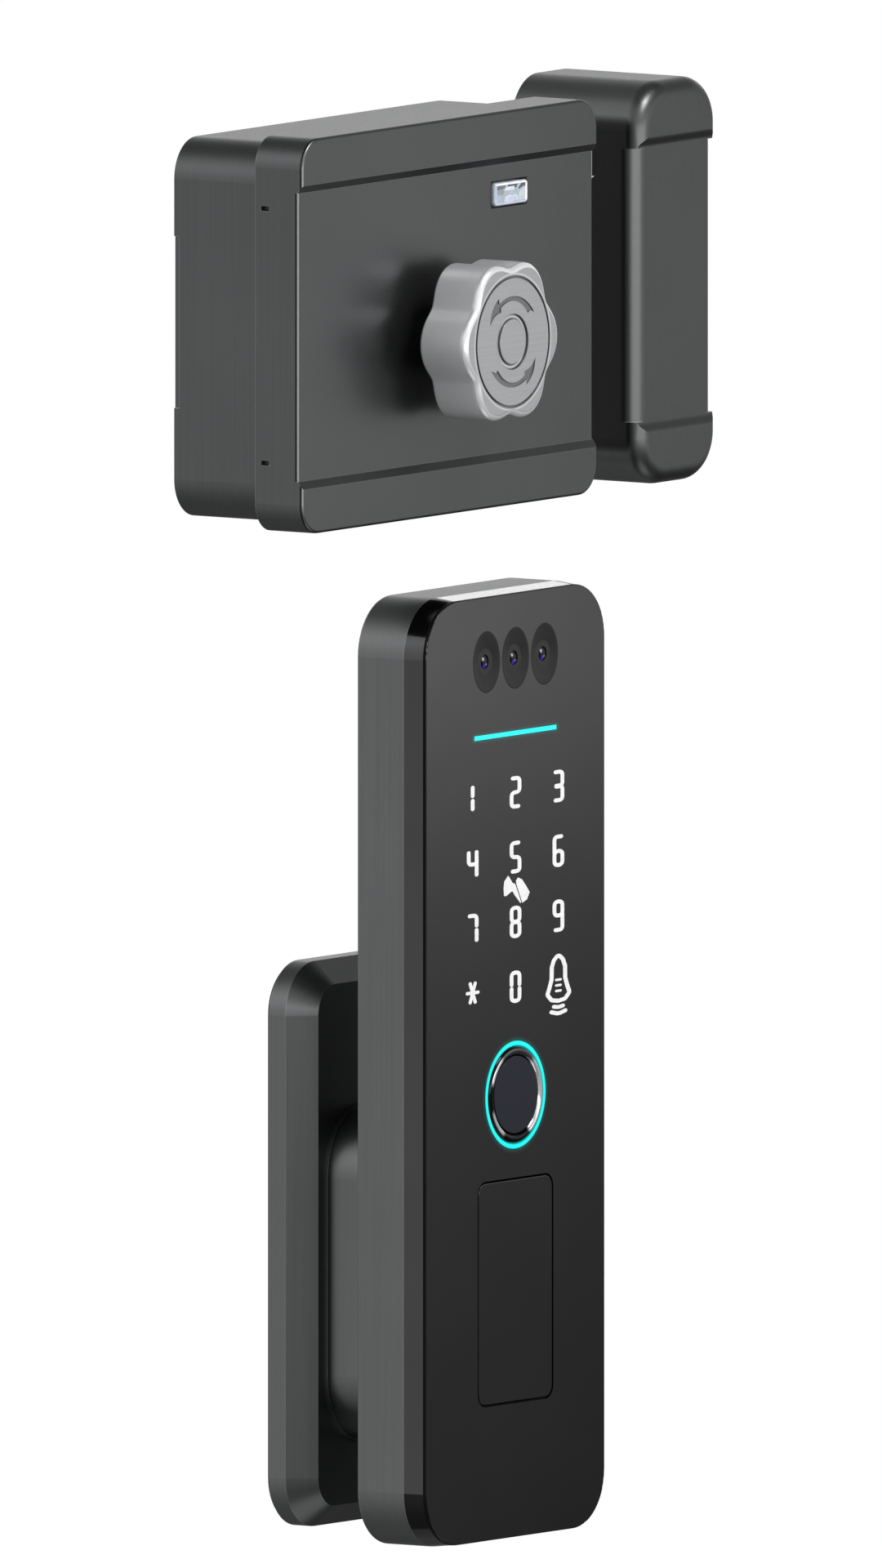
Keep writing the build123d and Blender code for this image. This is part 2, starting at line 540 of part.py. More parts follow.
def lock_case():
    """Deep tray against the door that carries the mechanism."""
    body = block(RectangleRounded(CASE_W, CASE_H, CASE_R), 0, CASE_FRONT, LOCK_X, LOCK_Z)
    inner = RectangleRounded(CASE_W - 2 * CASE_WALL, CASE_H - 2 * CASE_WALL, CASE_R - CASE_WALL)
    body -= block(inner, CASE_WALL, CASE_FRONT, LOCK_X, LOCK_Z)
    body -= block(Rectangle(1.0, 43.5), 0, 1.5, LOCK_X - CASE_W / 2, LOCK_Z + 1.75)
    body += block(Circle(9.5), CASE_WALL, 7.0, KNOB_X, KNOB_Z)
    body -= block(Circle(BUSH_R), CASE_WALL, 7.0, KNOB_X, KNOB_Z)
    body -= block(Circle(SHAFT_R + 0.5), 0, CASE_WALL, KNOB_X, KNOB_Z)
    body += discs(3.0, CASE_WALL, INNER_PLATE_BACK, PLATE_POSTS)
    body -= discs(1.3, 20.0, INNER_PLATE_BACK, PLATE_POSTS)
    motor_x, motor_z = motor_centre()
    for side in (-1, 1):
        body += block(Rectangle(1.6, 9), CASE_WALL, 18.0, motor_x + side * 7.0, motor_z)
    body += box(-26, -4, CASE_WALL, 16, RACK_TOP + 0.3, RACK_TOP + 3.3)
    body += box(-40, 30, CASE_WALL, PINION_BACK - 0.3, RACK_TOP - 5, RACK_TOP - 1)
    body += box(24, CASE_INNER_RIGHT, CASE_WALL, 28, LATCH_Z - 6, LATCH_Z + 6)
    body -= rod_x(LATCH_R + 0.1, LATCH_BORE_LEFT, CASE_INNER_RIGHT, LATCH_DEPTH, LATCH_Z)
    body -= rod_x(LATCH_NOSE_R + 0.1, CASE_INNER_RIGHT, CASE_RIGHT, LATCH_DEPTH, LATCH_Z)
    body -= rod_x(LATCH_STEM_R + 0.1, 24, LATCH_BORE_LEFT, LATCH_DEPTH, LATCH_Z)
    body -= box(CASE_INNER_RIGHT, CASE_RIGHT, *bolt_window(0.3))
    body -= discs(MOUNT_HOLE_R, 0, CASE_WALL, mount_places())
    return body - block(Circle(6.1), 0, CASE_WALL, CASE_CABLE_X, CASE_CABLE_Z)


def front_cover():
    body = stepped_box(
        COVER_W, COVER_H, COVER_R, COVER_FRONT, COVER_EDGE, COVER_RECESS, COVER_BAND, COVER_RAMP, 1,
        LOCK_X, LOCK_Z, CASE_FRONT,
    )
    body -= block(RectangleRounded(COVER_W - 7, COVER_H - 7, 4.0), CASE_FRONT, COVER_INSIDE, LOCK_X, LOCK_Z)
    body += discs(2.0, BOARD_FRONT, COVER_INSIDE, corner_places(17.5, 9.0, BOARD_X, BOARD_Z))
    body -= block(Circle(BUSH_R), COVER_INSIDE, COVER_FACE, KNOB_X, KNOB_Z)
    window = RectangleRounded(BUTTON_W + 0.7, BUTTON_H + 0.7, BUTTON_R + 0.35)
    body -= block(window, COVER_INSIDE, COVER_FACE, BUTTON_X, BUTTON_Z)
    for side, z in CLIPS:
        wall = LOCK_X + side * (COVER_W / 2 - 1.75)
        body -= box(wall - 2, wall + 2, 27.7, 30.2, z - 0.63, z + 0.63)
    return body


def cover_clips():
    """Spring clips on the case wall whose hooks show in the slots of the cover's sides."""
    body = Part()
    for side, z in CLIPS:
        inner = LOCK_X + side * (CASE_W / 2 - CASE_WALL)
        tip = LOCK_X + side * (COVER_W / 2 - CLIP_SINK)
        strip_low, strip_high = z - CLIP_STRIP_H / 2, z + CLIP_STRIP_H / 2
        hook_low, hook_high = z - CLIP_HOOK_H / 2, z + CLIP_HOOK_H / 2
        strip_left, strip_right = sorted((inner, inner - side * CLIP_STRIP_T))
        hook_left, hook_right = sorted((inner, tip))
        body += box(strip_left, strip_right, CLIP_STRIP_BACK, CLIP_FRONT, strip_low, strip_high)
        body += box(hook_left, hook_right, CLIP_HOOK_BACK, CLIP_FRONT, hook_low, hook_high)
    return body


# ---- indoor rim lock: knob ----
def polar(radius, degrees):
    angle = math.radians(degrees)
    return radius * math.cos(angle), radius * math.sin(angle)


def knob_outline():
    """Wide lobes with tighter notches between them."""
    softness = 0.3
    span = math.sqrt(1 + softness**2) - softness
    points = []
    for step in range(72):
        degrees = step * 5.0
        wave = math.cos(math.radians(degrees) * KNOB_LOBES / 2)
        height = (math.sqrt(wave**2 + softness**2) - softness) / span
        points.append(polar(KNOB_NOTCH_R + (KNOB_TIP_R - KNOB_NOTCH_R) * height, degrees))
    return make_face(Spline(*points, periodic=True))


def turn_arrow():
    """Curved arrow, pointing anticlockwise round the knob's centre."""
    outline = [
        ThreePointArc(polar(11.8, 35), polar(11.55, 80), polar(11.7, 121)),
        Line(polar(11.7, 121), polar(12.9, 119)),
        ThreePointArc(polar(12.9, 119), polar(12.5, 138), polar(11.2, 155)),
        ThreePointArc(polar(11.2, 155), polar(10.5, 138), polar(9.4, 124)),
        Line(polar(9.4, 124), polar(10.35, 121)),
        ThreePointArc(polar(10.35, 121), polar(10.3, 85), polar(9.5, 45)),
        Line(polar(9.5, 45), polar(10.8, 43)),
        Line(polar(10.8, 43), polar(11.8, 35)),
    ]
    return make_face(outline)


def knob():
    body = block(knob_outline(), KNOB_BACK, KNOB_FRONT, KNOB_X, KNOB_Z)
    body = fillet(edges_at(body, KNOB_FRONT), 1.8)
    body = fillet(edges_at(body, KNOB_BACK), 0.6)
    body += block(Circle(KNOB_HUB_R), KNOB_HUB_BACK, KNOB_BACK, KNOB_X, KNOB_Z)
    body -= block(Circle(SHAFT_R + 0.02), KNOB_HUB_BACK, SHAFT_FRONT, KNOB_X, KNOB_Z)
    body -= block(Circle(2.1), SHAFT_FRONT, KNOB_SCREW_SEAT, KNOB_X, KNOB_Z)
    body -= block(Circle(3.5), KNOB_SCREW_SEAT, KNOB_CAP_SEAT, KNOB_X, KNOB_Z)
    body -= block(Circle(KNOB_CAP_R + 0.05), KNOB_CAP_SEAT, KNOB_FRONT, KNOB_X, KNOB_Z)
    groove_floor = KNOB_FRONT - KNOB_GROOVE_DEPTH
    body -= ring(KNOB_GROOVE_R, KNOB_GROOVE_INNER_R, groove_floor, KNOB_FRONT, KNOB_X, KNOB_Z)
    for turn in (0, 180):
        body -= block(turn_arrow(), KNOB_FRONT - KNOB_ARROW_DEPTH, KNOB_FRONT, KNOB_X, KNOB_Z, turn)
    return body


def knob_cap():
    step = KNOB_FRONT - KNOB_CAP_STEP
    body = block(Circle(KNOB_CAP_R), KNOB_CAP_SEAT, step, KNOB_X, KNOB_Z)
    disc = block(Circle(KNOB_CAP_DISC_R), step, KNOB_FRONT, KNOB_X, KNOB_Z)
    return body + fillet(edges_at(disc, KNOB_FRONT), 0.2)


def knob_screw():
    return pan_screws([(KNOB_X, KNOB_Z)], KNOB_SCREW_SEAT, KNOB_CAP_SEAT - 0.1, 44.0, 3.3, 1.95)


def knob_shaft():
    body = block(Circle(SHAFT_R), SHAFT_BACK, SHAFT_FRONT, KNOB_X, KNOB_Z)
    body -= block(Circle(2.0), 43.0, SHAFT_FRONT, KNOB_X, KNOB_Z)
    return body - block(Rectangle(6, 6), SHAFT_BACK, 12.0, KNOB_X, KNOB_Z)


def shaft_bushes():
    spans = [(CASE_WALL, 7.0), (INNER_PLATE_BACK, INNER_PLATE_FRONT), (COVER_INSIDE, COVER_FACE)]
    return sum((ring(BUSH_R, SHAFT_R + 0.05, low, high, KNOB_X, KNOB_Z) for low, high in spans), Part())


# ---- indoor rim lock: gears, motor and bolt ----
def bolt_pinion():
    bore = SHAFT_R + 0.02
    return gear(RACK_MODULE, PINION_TEETH, bore, PINION_BACK, PINION_FRONT, KNOB_X, KNOB_Z, 90)


def drive_gear():
    bore = SHAFT_R + 0.02
    body = gear(DRIVE_MODULE, DRIVE_TEETH, bore, DRIVE_BACK, DRIVE_FRONT, KNOB_X, KNOB_Z, MOTOR_ANGLE)
    holes = [(KNOB_X + x, KNOB_Z + z) for x, z in (polar(10.5, turn) for turn in range(30, 390, 60))]
    return body - discs(2.2, DRIVE_BACK, DRIVE_FRONT, holes)


def motor_pinion():
    x, z = motor_centre()
    half_pitch = 180.0 / MOTOR_TEETH
    body = gear(DRIVE_MODULE, MOTOR_TEETH, 0, DRIVE_BACK, DRIVE_FRONT, x, z, MOTOR_ANGLE + 180 + half_pitch)
    return body + block(Circle(1.5), 22.7, DRIVE_BACK, x, z)


def gear_motor():
    x, z = motor_centre()
    can = Circle(6.0) & Rectangle(12, 10)
    body = block(can, 4.0, 13.5, x, z) + block(Rectangle(12, 10), 13.5, 22.6, x, z)
    return body + block(Circle(1.5), 2.8, 4.0, x, z)


def bolt():
    """Square deadbolt block with a slightly chamfered nose, notched behind for the rack bar."""
    back, front, low, high = bolt_window(0)
    body = box(BOLT_LEFT, BOLT_NOSE, back, front, low, high)
    nose = [edge for edge in body.edges() if edge.bounding_box().min.X > BOLT_NOSE - 0.01]
    body = chamfer(nose, 1.0)
    rack_low = KNOB_Z + RACK_MODULE * (PINION_TEETH / 2 - 1)
    return body - box(BOLT_LEFT, RACK_RIGHT, PINION_BACK, PINION_FRONT, rack_low - 0.2, RACK_TOP)


def rack_tooth_outline(centre, pitch_z):
    """One rack tooth pointing down: trapezium about the pitch line."""
    half = math.pi * RACK_MODULE / 4 - BACKLASH / 2
    lean = math.tan(PRESSURE_ANGLE)
    down, up = 0.95 * RACK_MODULE, 1.25 * RACK_MODULE
    corners = [
        (centre - half - up * lean, pitch_z + up),
        (centre - half + down * lean, pitch_z - down),
        (centre + half - down * lean, pitch_z - down),
        (centre + half + up * lean, pitch_z + up),
    ]
    return Polygon(*corners, align=None)


def bolt_rack():
    pitch_z = KNOB_Z + RACK_MODULE * PINION_TEETH / 2
    step = math.pi * RACK_MODULE
    root_z = pitch_z + 1.25 * RACK_MODULE
    body = box(RACK_LEFT, RACK_RIGHT, PINION_BACK, PINION_FRONT, root_z, RACK_TOP)
    count = int((BOLT_LEFT - 2 - KNOB_X) / step)
    for number in range(-1, count):
        tooth = rack_tooth_outline(KNOB_X + step * (number + 0.5), pitch_z)
        body += block(tooth, PINION_BACK, PINION_FRONT)
    low = KNOB_Z + RACK_MODULE * (PINION_TEETH / 2 - 1)
    return body + box(BOLT_LEFT, RACK_RIGHT, PINION_BACK, PINION_FRONT, low, root_z)


def bolt_guide():
    """Collar inside the case wall that the bolt slides through."""
    back, front, low, high = bolt_window(0.3)
    body = box(44.0, CASE_INNER_RIGHT, back - 3, front + 2, low - 2.2, high + 2.2)
    return body - box(44.0, CASE_INNER_RIGHT, back, front, low, high)


def inner_plate():
    body = block(RectangleRounded(57, 60, 3), INNER_PLATE_BACK, INNER_PLATE_FRONT, -20.5, 236.5)
    body -= block(Circle(BUSH_R), INNER_PLATE_BACK, INNER_PLATE_FRONT, KNOB_X, KNOB_Z)
    return body - discs(1.4, INNER_PLATE_BACK, INNER_PLATE_FRONT, PLATE_POSTS)


def mechanism_screws():
    return pan_screws(PLATE_POSTS, INNER_PLATE_FRONT, 32.8, 22.0, 2.6, 1.25)


def latch_plunger():
    body = rod_x(LATCH_R, LATCH_REAR, LATCH_SHOULDER, LATCH_DEPTH, LATCH_Z)
    nose = rod_x(LATCH_NOSE_R, LATCH_SHOULDER, LATCH_TIP, LATCH_DEPTH, LATCH_Z)
    tip_edges = [edge for edge in nose.edges() if edge.bounding_box().min.X > LATCH_TIP - 0.01]
    body += fillet(tip_edges, 2.5)
    return body + rod_x(LATCH_STEM_R, 25.0, LATCH_REAR, LATCH_DEPTH, LATCH_Z)


def latch_spring():
    wire, radius, length = 0.35, 3.1, LATCH_REAR - LATCH_BORE_LEFT - 0.9
    coil = Helix(pitch=length / 7, height=length, radius=radius)
    start = Plane(origin=coil @ 0, z_dir=coil % 0)
    spring = sweep(start * Circle(wire), path=coil)
    return Pos(LATCH_BORE_LEFT + 0.45, -LATCH_DEPTH, LATCH_Z) * Rot(0, 90, 0) * spring


# ---- indoor rim lock: button, board and cells ----
def exit_button():
    outline = RectangleRounded(BUTTON_W, BUTTON_H, BUTTON_R)
    body = block(outline, COVER_INSIDE, BUTTON_FRONT, BUTTON_X, BUTTON_Z)
    body = fillet(edges_at(body, BUTTON_FRONT), 0.4)
    flange = RectangleRounded(BUTTON_W + 2.4, BUTTON_H + 2.4, BUTTON_R + 1)
    return body + block(flange, COVER_INSIDE - 1, COVER_INSIDE, BUTTON_X, BUTTON_Z)


def control_board():
    """Circuit board on the cover's bosses, with the exit button's switch."""
    body = block(RectangleRounded(BOARD_W, BOARD_H, 1), BOARD_BACK, BOARD_FRONT, BOARD_X, BOARD_Z)
    body += block(Rectangle(6, 6), BOARD_FRONT, 34.1, BUTTON_X, BUTTON_Z)
    body += block(Rectangle(9, 9), BOARD_FRONT, 34.4, BOARD_X + 8, BOARD_Z + 2)
    return body + block(Rectangle(16, 4), BOARD_BACK - 2.4, BOARD_BACK, BOARD_X, BOARD_Z - 8)


def cell_bays():
    """Centres in X and depth of the four cells: two in line, two deep."""
    return [(HOLDER_X + side * 27.0, depth) for side in (-1, 1) for depth in (11.6, 26.4)]


def battery_holder():
    low, high = CELL_Z - HOLDER_H / 2, CELL_Z + HOLDER_H / 2
    body = box(HOLDER_X - HOLDER_W / 2, HOLDER_X + HOLDER_W / 2, CASE_WALL, 35, low, high)
    for side in (-1, 1):
        middle = HOLDER_X + side * 27.0
        body -= box(middle - 25.9, middle + 25.9, 4.0, 35, low + 0.6, high - 0.6)
    return body


def battery_cells():
    body = Part()
    for x, depth in cell_bays():
        can = rod_x(CELL_R, x - CELL_L / 2, x + CELL_L / 2 - 1.2, depth, CELL_Z)
        body += can + rod_x(2.6, x + CELL_L / 2 - 1.2, x + CELL_L / 2, depth, CELL_Z)
    return body


# ---- keeper ----
def keeper_case():
    body = stepped_box(
        KEEPER_W, KEEPER_H, KEEPER_R, KEEPER_FRONT, KEEPER_EDGE, KEEPER_RECESS, KEEPER_BAND, KEEPER_RAMP, 8,
        KEEPER_X, KEEPER_Z, 0.0,
    )
    inside = RectangleRounded(KEEPER_W - 6, KEEPER_H - 6, KEEPER_R - 3)
    body -= block(inside, 0, KEEPER_INSIDE, KEEPER_X, KEEPER_Z)
    body -= box(KEEPER_LEFT - 1, KEEPER_LEFT + 4, *bolt_window(0.8))
    body -= rod_x(5.0, KEEPER_LEFT - 1, KEEPER_LEFT + 4, LATCH_DEPTH, LATCH_Z)
    for z in KEEPER_SCREWS:
        body -= rod_x(1.6, KEEPER_LEFT, KEEPER_LEFT + 4, KEEPER_SCREW_DEPTH, z)
        body -= rod_x(2.9, KEEPER_LEFT, KEEPER_LEFT + 1.6, KEEPER_SCREW_DEPTH, z)
    return body


def keeper_hole_places():
    return [(KEEPER_X, KEEPER_Z + side * KEEPER_HOLE_PITCH / 2) for side in (-1, 1)]


def keeper_base():
    """Steel base on the frame, with two lugs that the case is screwed to from its bolt side."""
    outline = RectangleRounded(KEEPER_W - 6.4, KEEPER_H - 6.4, KEEPER_R - 3.2)
    body = block(outline, 0, KEEPER_BASE_T, KEEPER_X, KEEPER_Z)
    for z in KEEPER_SCREWS:
        body += box(STRIKE_LEFT, STRIKE_LEFT + 6, KEEPER_BASE_T, 12, z - 4, z + 4)
        body -= rod_x(1.5, STRIKE_LEFT, STRIKE_LEFT + 6, KEEPER_SCREW_DEPTH, z)
    return body - discs(MOUNT_HOLE_R, 0, KEEPER_BASE_T, keeper_hole_places())


def keeper_strike():
    """Steel strike plate inside the keeper's bolt side."""
    back, front, low, high = bolt_window(0.5)
    body = box(STRIKE_LEFT, STRIKE_LEFT + 2, KEEPER_BASE_T, front + 3.5, low - 4, high + 4)
    return body - box(STRIKE_LEFT, STRIKE_LEFT + 2, back, front, low, high)


def keeper_screws():
    body = Part()
    for z in KEEPER_SCREWS:
        head = rod_x(2.7, KEEPER_LEFT + 0.1, KEEPER_LEFT + 1.6, KEEPER_SCREW_DEPTH, z)
        body += head + rod_x(1.45, KEEPER_LEFT + 1.6, KEEPER_LEFT + 10, KEEPER_SCREW_DEPTH, z)
    return body


NODES = [
    door_gasket, back_plate, plate_base, base_screws, mounting_posts, cable_grommets,
    neck, neck_screws, handle_screws,
    handle_shell, trim_frame, front_glass, front_chassis, chassis_screws, touch_board, light_bar,
    camera_bezels, camera_lenses, camera_module, main_board, speaker,
    ring_light, fingerprint_bezel, fingerprint_sensor,
    key_hatch, hatch_pin, key_pocket, usb_port, cylinder_body, cylinder_clamp, key_plug, key_tail,
    lock_case, front_cover, cover_clips,
    knob, knob_cap, knob_screw, knob_shaft, shaft_bushes,
    bolt_pinion, drive_gear, motor_pinion, gear_motor, bolt, bolt_rack, bolt_guide,
    inner_plate, mechanism_screws, latch_plunger, latch_spring,
    exit_button, control_board, battery_holder, battery_cells,
    keeper_case, keeper_base, keeper_strike, keeper_screws,
]

os.makedirs("parts", exist_ok=True)
for make_node in NODES:
    name = make_node.__name__
    shape = make_node()
    shape.label = name
    export_step(shape, f"parts/{name}.step")
print(len(NODES), "nodes written")
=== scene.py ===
import json
import math

import bmesh
import bpy
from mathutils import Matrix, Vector


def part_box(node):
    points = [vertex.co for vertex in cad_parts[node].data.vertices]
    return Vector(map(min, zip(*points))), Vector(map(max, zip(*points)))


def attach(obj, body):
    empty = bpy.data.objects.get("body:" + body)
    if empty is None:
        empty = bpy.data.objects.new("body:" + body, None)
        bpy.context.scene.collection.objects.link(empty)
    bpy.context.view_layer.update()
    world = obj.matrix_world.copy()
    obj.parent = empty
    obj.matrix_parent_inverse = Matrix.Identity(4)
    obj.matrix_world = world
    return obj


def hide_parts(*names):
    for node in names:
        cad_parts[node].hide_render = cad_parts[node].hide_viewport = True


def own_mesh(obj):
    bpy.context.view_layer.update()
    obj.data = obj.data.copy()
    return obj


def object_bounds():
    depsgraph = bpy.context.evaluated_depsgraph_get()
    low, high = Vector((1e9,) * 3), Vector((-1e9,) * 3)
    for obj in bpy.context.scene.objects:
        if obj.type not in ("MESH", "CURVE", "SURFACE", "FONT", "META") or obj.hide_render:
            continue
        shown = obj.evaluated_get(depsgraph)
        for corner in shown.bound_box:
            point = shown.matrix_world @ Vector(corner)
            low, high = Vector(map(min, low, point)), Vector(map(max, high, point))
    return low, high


# Looks of the keypad smart lock set. Metres, in the frame of the CAD: the door face is Y = 0, the set
# stands out of it towards -Y, +Z is up. Sizes named _MM are millimetres.
# Sections: places, material building, materials, legends, button facets, latch spring, camera and light.

MM = 0.001
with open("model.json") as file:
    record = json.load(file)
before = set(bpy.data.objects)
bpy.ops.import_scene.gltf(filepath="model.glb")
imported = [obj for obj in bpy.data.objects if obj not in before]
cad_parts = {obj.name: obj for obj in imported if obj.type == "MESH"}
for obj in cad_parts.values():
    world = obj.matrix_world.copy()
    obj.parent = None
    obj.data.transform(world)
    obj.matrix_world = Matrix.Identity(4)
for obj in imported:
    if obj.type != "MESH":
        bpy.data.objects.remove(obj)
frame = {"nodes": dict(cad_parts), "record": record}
cad_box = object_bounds()
nodes = frame["nodes"]
scene = bpy.context.scene


# ---- places read from the frame ----
def centre(node):
    low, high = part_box(node)
    return (low + high) / 2


def front_of(node):
    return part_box(node)[0].y


GLASS_Y = front_of("front_glass")
GLASS = centre("front_glass")
KNOB = centre("knob_cap")
KNOB_FACE_Y = front_of("knob")
FINGER = centre("fingerprint_bezel")
BAR = centre("light_bar")
BUTTON = centre("exit_button")
BUTTON_HALF_MM = (7.6, 2.98)
CAP_RADIUS = 0.0070
FACE_RADIUS = 0.0170
RING_RADIUS = 0.0131
BEZEL_RADIUS = 0.0118


# ---- material building ----
class Finish:
    """A procedural material: one Principled shader, fed in object coordinates, which are the row frame."""

    def __init__(self, name, colour, roughness, **sockets):
        self.material = bpy.data.materials.new(name)
        self.material.use_nodes = True
        self.tree = self.material.node_tree
        self.shader = self.tree.nodes["Principled BSDF"]
        self.place = self.add("TexCoord").outputs["Object"]
        self.feed(self.shader, {"Base Color": (*colour, 1), "Roughness": roughness})
        self.feed(self.shader, {key.replace("_", " "): value for key, value in sockets.items()})
        self.colour = self.shader.inputs["Base Color"].default_value[:]
        self.height = None

    def add(self, kind, inputs=None, **settings):
        node = self.tree.nodes.new("ShaderNode" + kind)
        for key, value in settings.items():
            setattr(node, key, value)
        self.feed(node, inputs or {})
        return node

    def feed(self, node, inputs):
        for key, value in inputs.items():
            if isinstance(value, bpy.types.NodeSocket):
                self.tree.links.new(value, node.inputs[key])
            else:
                node.inputs[key].default_value = value

    def math(self, operation, *values):
        return self.add("Math", dict(enumerate(values)), operation=operation).outputs[0]

    def product(self, first, *others):
        for other in others:
            first = self.math("MULTIPLY", first, other)
        return first

    def gap(self, value, place):
        """How far a value is from a place, on either side."""
        return self.math("ABSOLUTE", self.math("SUBTRACT", value, place))

    def ramp(self, value, low, high, to_low=0.0, to_high=1.0):
        """A smooth step from one value to another as the input goes from low to high."""
        inputs = {0: value, 1: low, 2: high, 3: to_low, 4: to_high}
        return self.add("MapRange", inputs, interpolation_type="SMOOTHSTEP").outputs[0]

    def noise(self, per_metre, detail, stretch=(1, 1, 1)):
        """Noise of about so many features a metre, drawn out along an axis by a small stretch value."""
        where = self.add("Mapping", {"Vector": self.place, "Scale": stretch}).outputs[0]
        inputs = {"Vector": where, "Scale": per_metre, "Detail": detail}
        return self.add("TexNoise", inputs).outputs["Fac"]

    def mix(self, share, first, second, blend="MIX"):
        """Mixes two colours. A Mix node has them at its inputs 6 and 7, and the result at its output 2."""
        inputs = {0: share, 6: first, 7: second}
        return self.add("Mix", inputs, data_type="RGBA", blend_type=blend).outputs[2]

    def tint(self, share, colour):
        """Paints another colour over the base where share is high."""
        self.colour = self.mix(share, self.colour, (*colour, 1))
        self.feed(self.shader, {"Base Color": self.colour})

    def vary(self, source, amount):
        """Makes the base colour a little lighter and darker with a 0 to 1 source."""
        gain = self.ramp(source, 0.25, 0.75, 1 - amount, 1 + amount)
        grey = self.add("CombineColor", {0: gain, 1: gain, 2: gain}).outputs[0]
        self.colour = self.mix(1.0, self.colour, grey, "MULTIPLY")
        self.feed(self.shader, {"Base Color": self.colour})

    def rough(self, source, low, high):
        self.feed(self.shader, {"Roughness": self.ramp(source, 0.2, 0.8, low, high)})

    def bump(self, source, distance_mm, strength):
        inputs = {"Height": source, "Distance": distance_mm * MM, "Strength": strength}
        if self.height:
            inputs["Normal"] = self.height
        self.height = self.add("Bump", inputs).outputs[0]
        self.feed(self.shader, {"Normal": self.height})

    def edges(self, radius_mm):
        """1 along convex and concave edges, 0 on open faces."""
        soft = self.add("Bevel", {"Radius": radius_mm * MM}, samples=4).outputs[0]
        flat = self.add("NewGeometry").outputs["True Normal"]
        turn = self.add("VectorMath", {0: soft, 1: flat}, operation="DOT_PRODUCT").outputs["Value"]
        return self.ramp(turn, 0.995, 0.9, 0.0, 1.0)

    def from_axis(self, point):
        """Distance in metres from the line along Y through a point."""
        offset = self.add("VectorMath", {0: self.place, 1: point}, operation="SUBTRACT").outputs[0]
        level = self.add("VectorMath", {0: offset, 1: (1, 0, 1)}, operation="MULTIPLY").outputs[0]
        return self.add("VectorMath", {0: level}, operation="LENGTH").outputs["Value"]

    def axis(self, name):
        return self.add("SeparateXYZ", {0: self.place}).outputs[name]

    def normal(self, axis):
        """How far the surface faces along an axis, from -1 to 1."""
        return self.add("SeparateXYZ", {0: self.add("TexCoord").outputs["Normal"]}).outputs[axis]

    def facing(self, axis):
        """How far the surface faces along an axis either way, from 0 to 1."""
        return self.math("ABSOLUTE", self.normal(axis))


# ---- materials, one function each ----
# Grey of the painted highlights on edges.
HIGHLIGHT_GREY = (0.40, 0.41, 0.41)
RIM_COLOUR = (0.083, 0.085, 0.086)


def casing(name="black_casing", colour=(0.114, 0.117, 0.118)):
    """Black anodised metal: satin on the front, with a fine upright brushing on the sides."""
    skin = Finish(name, colour, 0.34, Metallic=0.92)
    grain = skin.noise(1400, 4)
    brushed = skin.noise(1500, 4, (1, 1, 0.012))
    on_side = skin.ramp(skin.facing("Y"), 0.6, 0.9, 1.0, 0.0)
    texture = skin.add("Mix", {0: on_side, 2: grain, 3: brushed}).outputs[0]
    skin.vary(skin.noise(18, 3), 0.04)
    skin.vary(texture, 0.05)
    skin.rough(texture, 0.31, 0.38)
    skin.bump(texture, 0.004, 0.35)
    # Painted highlight: the edges are painted paler.
    skin.tint(skin.product(skin.edges(0.3), 0.40), HIGHLIGHT_GREY)
    return skin


def cover_casing():
    """A painted highlight along its rounded front edge on the left, and painted shade beside that and round
    the exit button.
    """
    skin = casing("cover_casing", RIM_COLOUR)
    leftward = skin.ramp(skin.normal("X"), -0.08, -0.30)
    forward = skin.facing("Y")
    # Painted highlight along the rounded front edge on the left.
    skin.tint(skin.product(leftward, skin.ramp(forward, 0.5, 0.6), 0.28), HIGHLIGHT_GREY)
    # Painted shade in a band beside that edge.
    shaded_band = skin.product(skin.ramp(forward, 0.03, 0.10), skin.ramp(forward, 0.52, 0.42))
    skin.tint(shaded_band, (0.02, 0.02, 0.02))
    # Painted shade in the gap round the exit button.
    beyond = []
    for axis, middle, half in (("X", BUTTON.x, BUTTON_HALF_MM[0]), ("Z", BUTTON.z, BUTTON_HALF_MM[1])):
        beyond.append(skin.math("SUBTRACT", skin.gap(skin.axis(axis), middle), half * MM))
    skin.tint(skin.ramp(skin.math("MAXIMUM", *beyond), 0.0006, 0.0004), (0.012, 0.012, 0.012))
    return skin


def keeper_casing():
    """Painted shade on the side that faces the lock, and a painted highlight on the rounded edge before it.
    """
    skin = casing("keeper_casing", RIM_COLOUR)
    sideways = skin.normal("X")
    edge_highlight = skin.product(skin.ramp(sideways, -0.10, -0.35), skin.ramp(sideways, -0.92, -0.80))
    # Painted highlight on the rounded edge.
    skin.tint(skin.product(edge_highlight, 0.10), HIGHLIGHT_GREY)
    # Painted shade on the side towards the lock.
    skin.tint(skin.product(skin.ramp(sideways, -0.94, -0.995), 0.9), (0.006, 0.006, 0.006))
    return skin


def polished_trim():
    """Black mirror finish, with a painted dark reflection round its two lower corners."""
    skin = Finish("polished_trim", (0.06, 0.06, 0.062), 0.12, Metallic=1.0)
    fine = skin.noise(900, 3)
    skin.vary(skin.noise(30, 2), 0.05)
    skin.rough(fine, 0.10, 0.15)
    skin.bump(fine, 0.002, 0.3)
    upward = skin.normal("Z")
    # Painted dark reflection on the lower corners.
    foot = skin.product(skin.ramp(upward, -0.03, -0.06), skin.ramp(upward, -0.66, -0.62))
    skin.tint(skin.product(foot, 0.75), (0.004, 0.004, 0.004))
    return skin


def dark_glass(name):
    """Smoked glass whose sides are blacked out."""
    skin = Finish(name, (0.008, 0.008, 0.009), 0.14, IOR=1.5)
    skin.vary(skin.noise(25, 3), 0.15)
    blacked_edge = skin.ramp(skin.facing("Y"), 0.3, 0.8, 1.0, 0.0)
    waviness = skin.ramp(skin.noise(60, 4), 0.2, 0.8, 0.12, 0.17)
    roughness = skin.math("ADD", waviness, skin.product(blacked_edge, 0.4))
    skin.feed(skin.shader, {"Metallic": blacked_edge, "Roughness": roughness})
    return skin


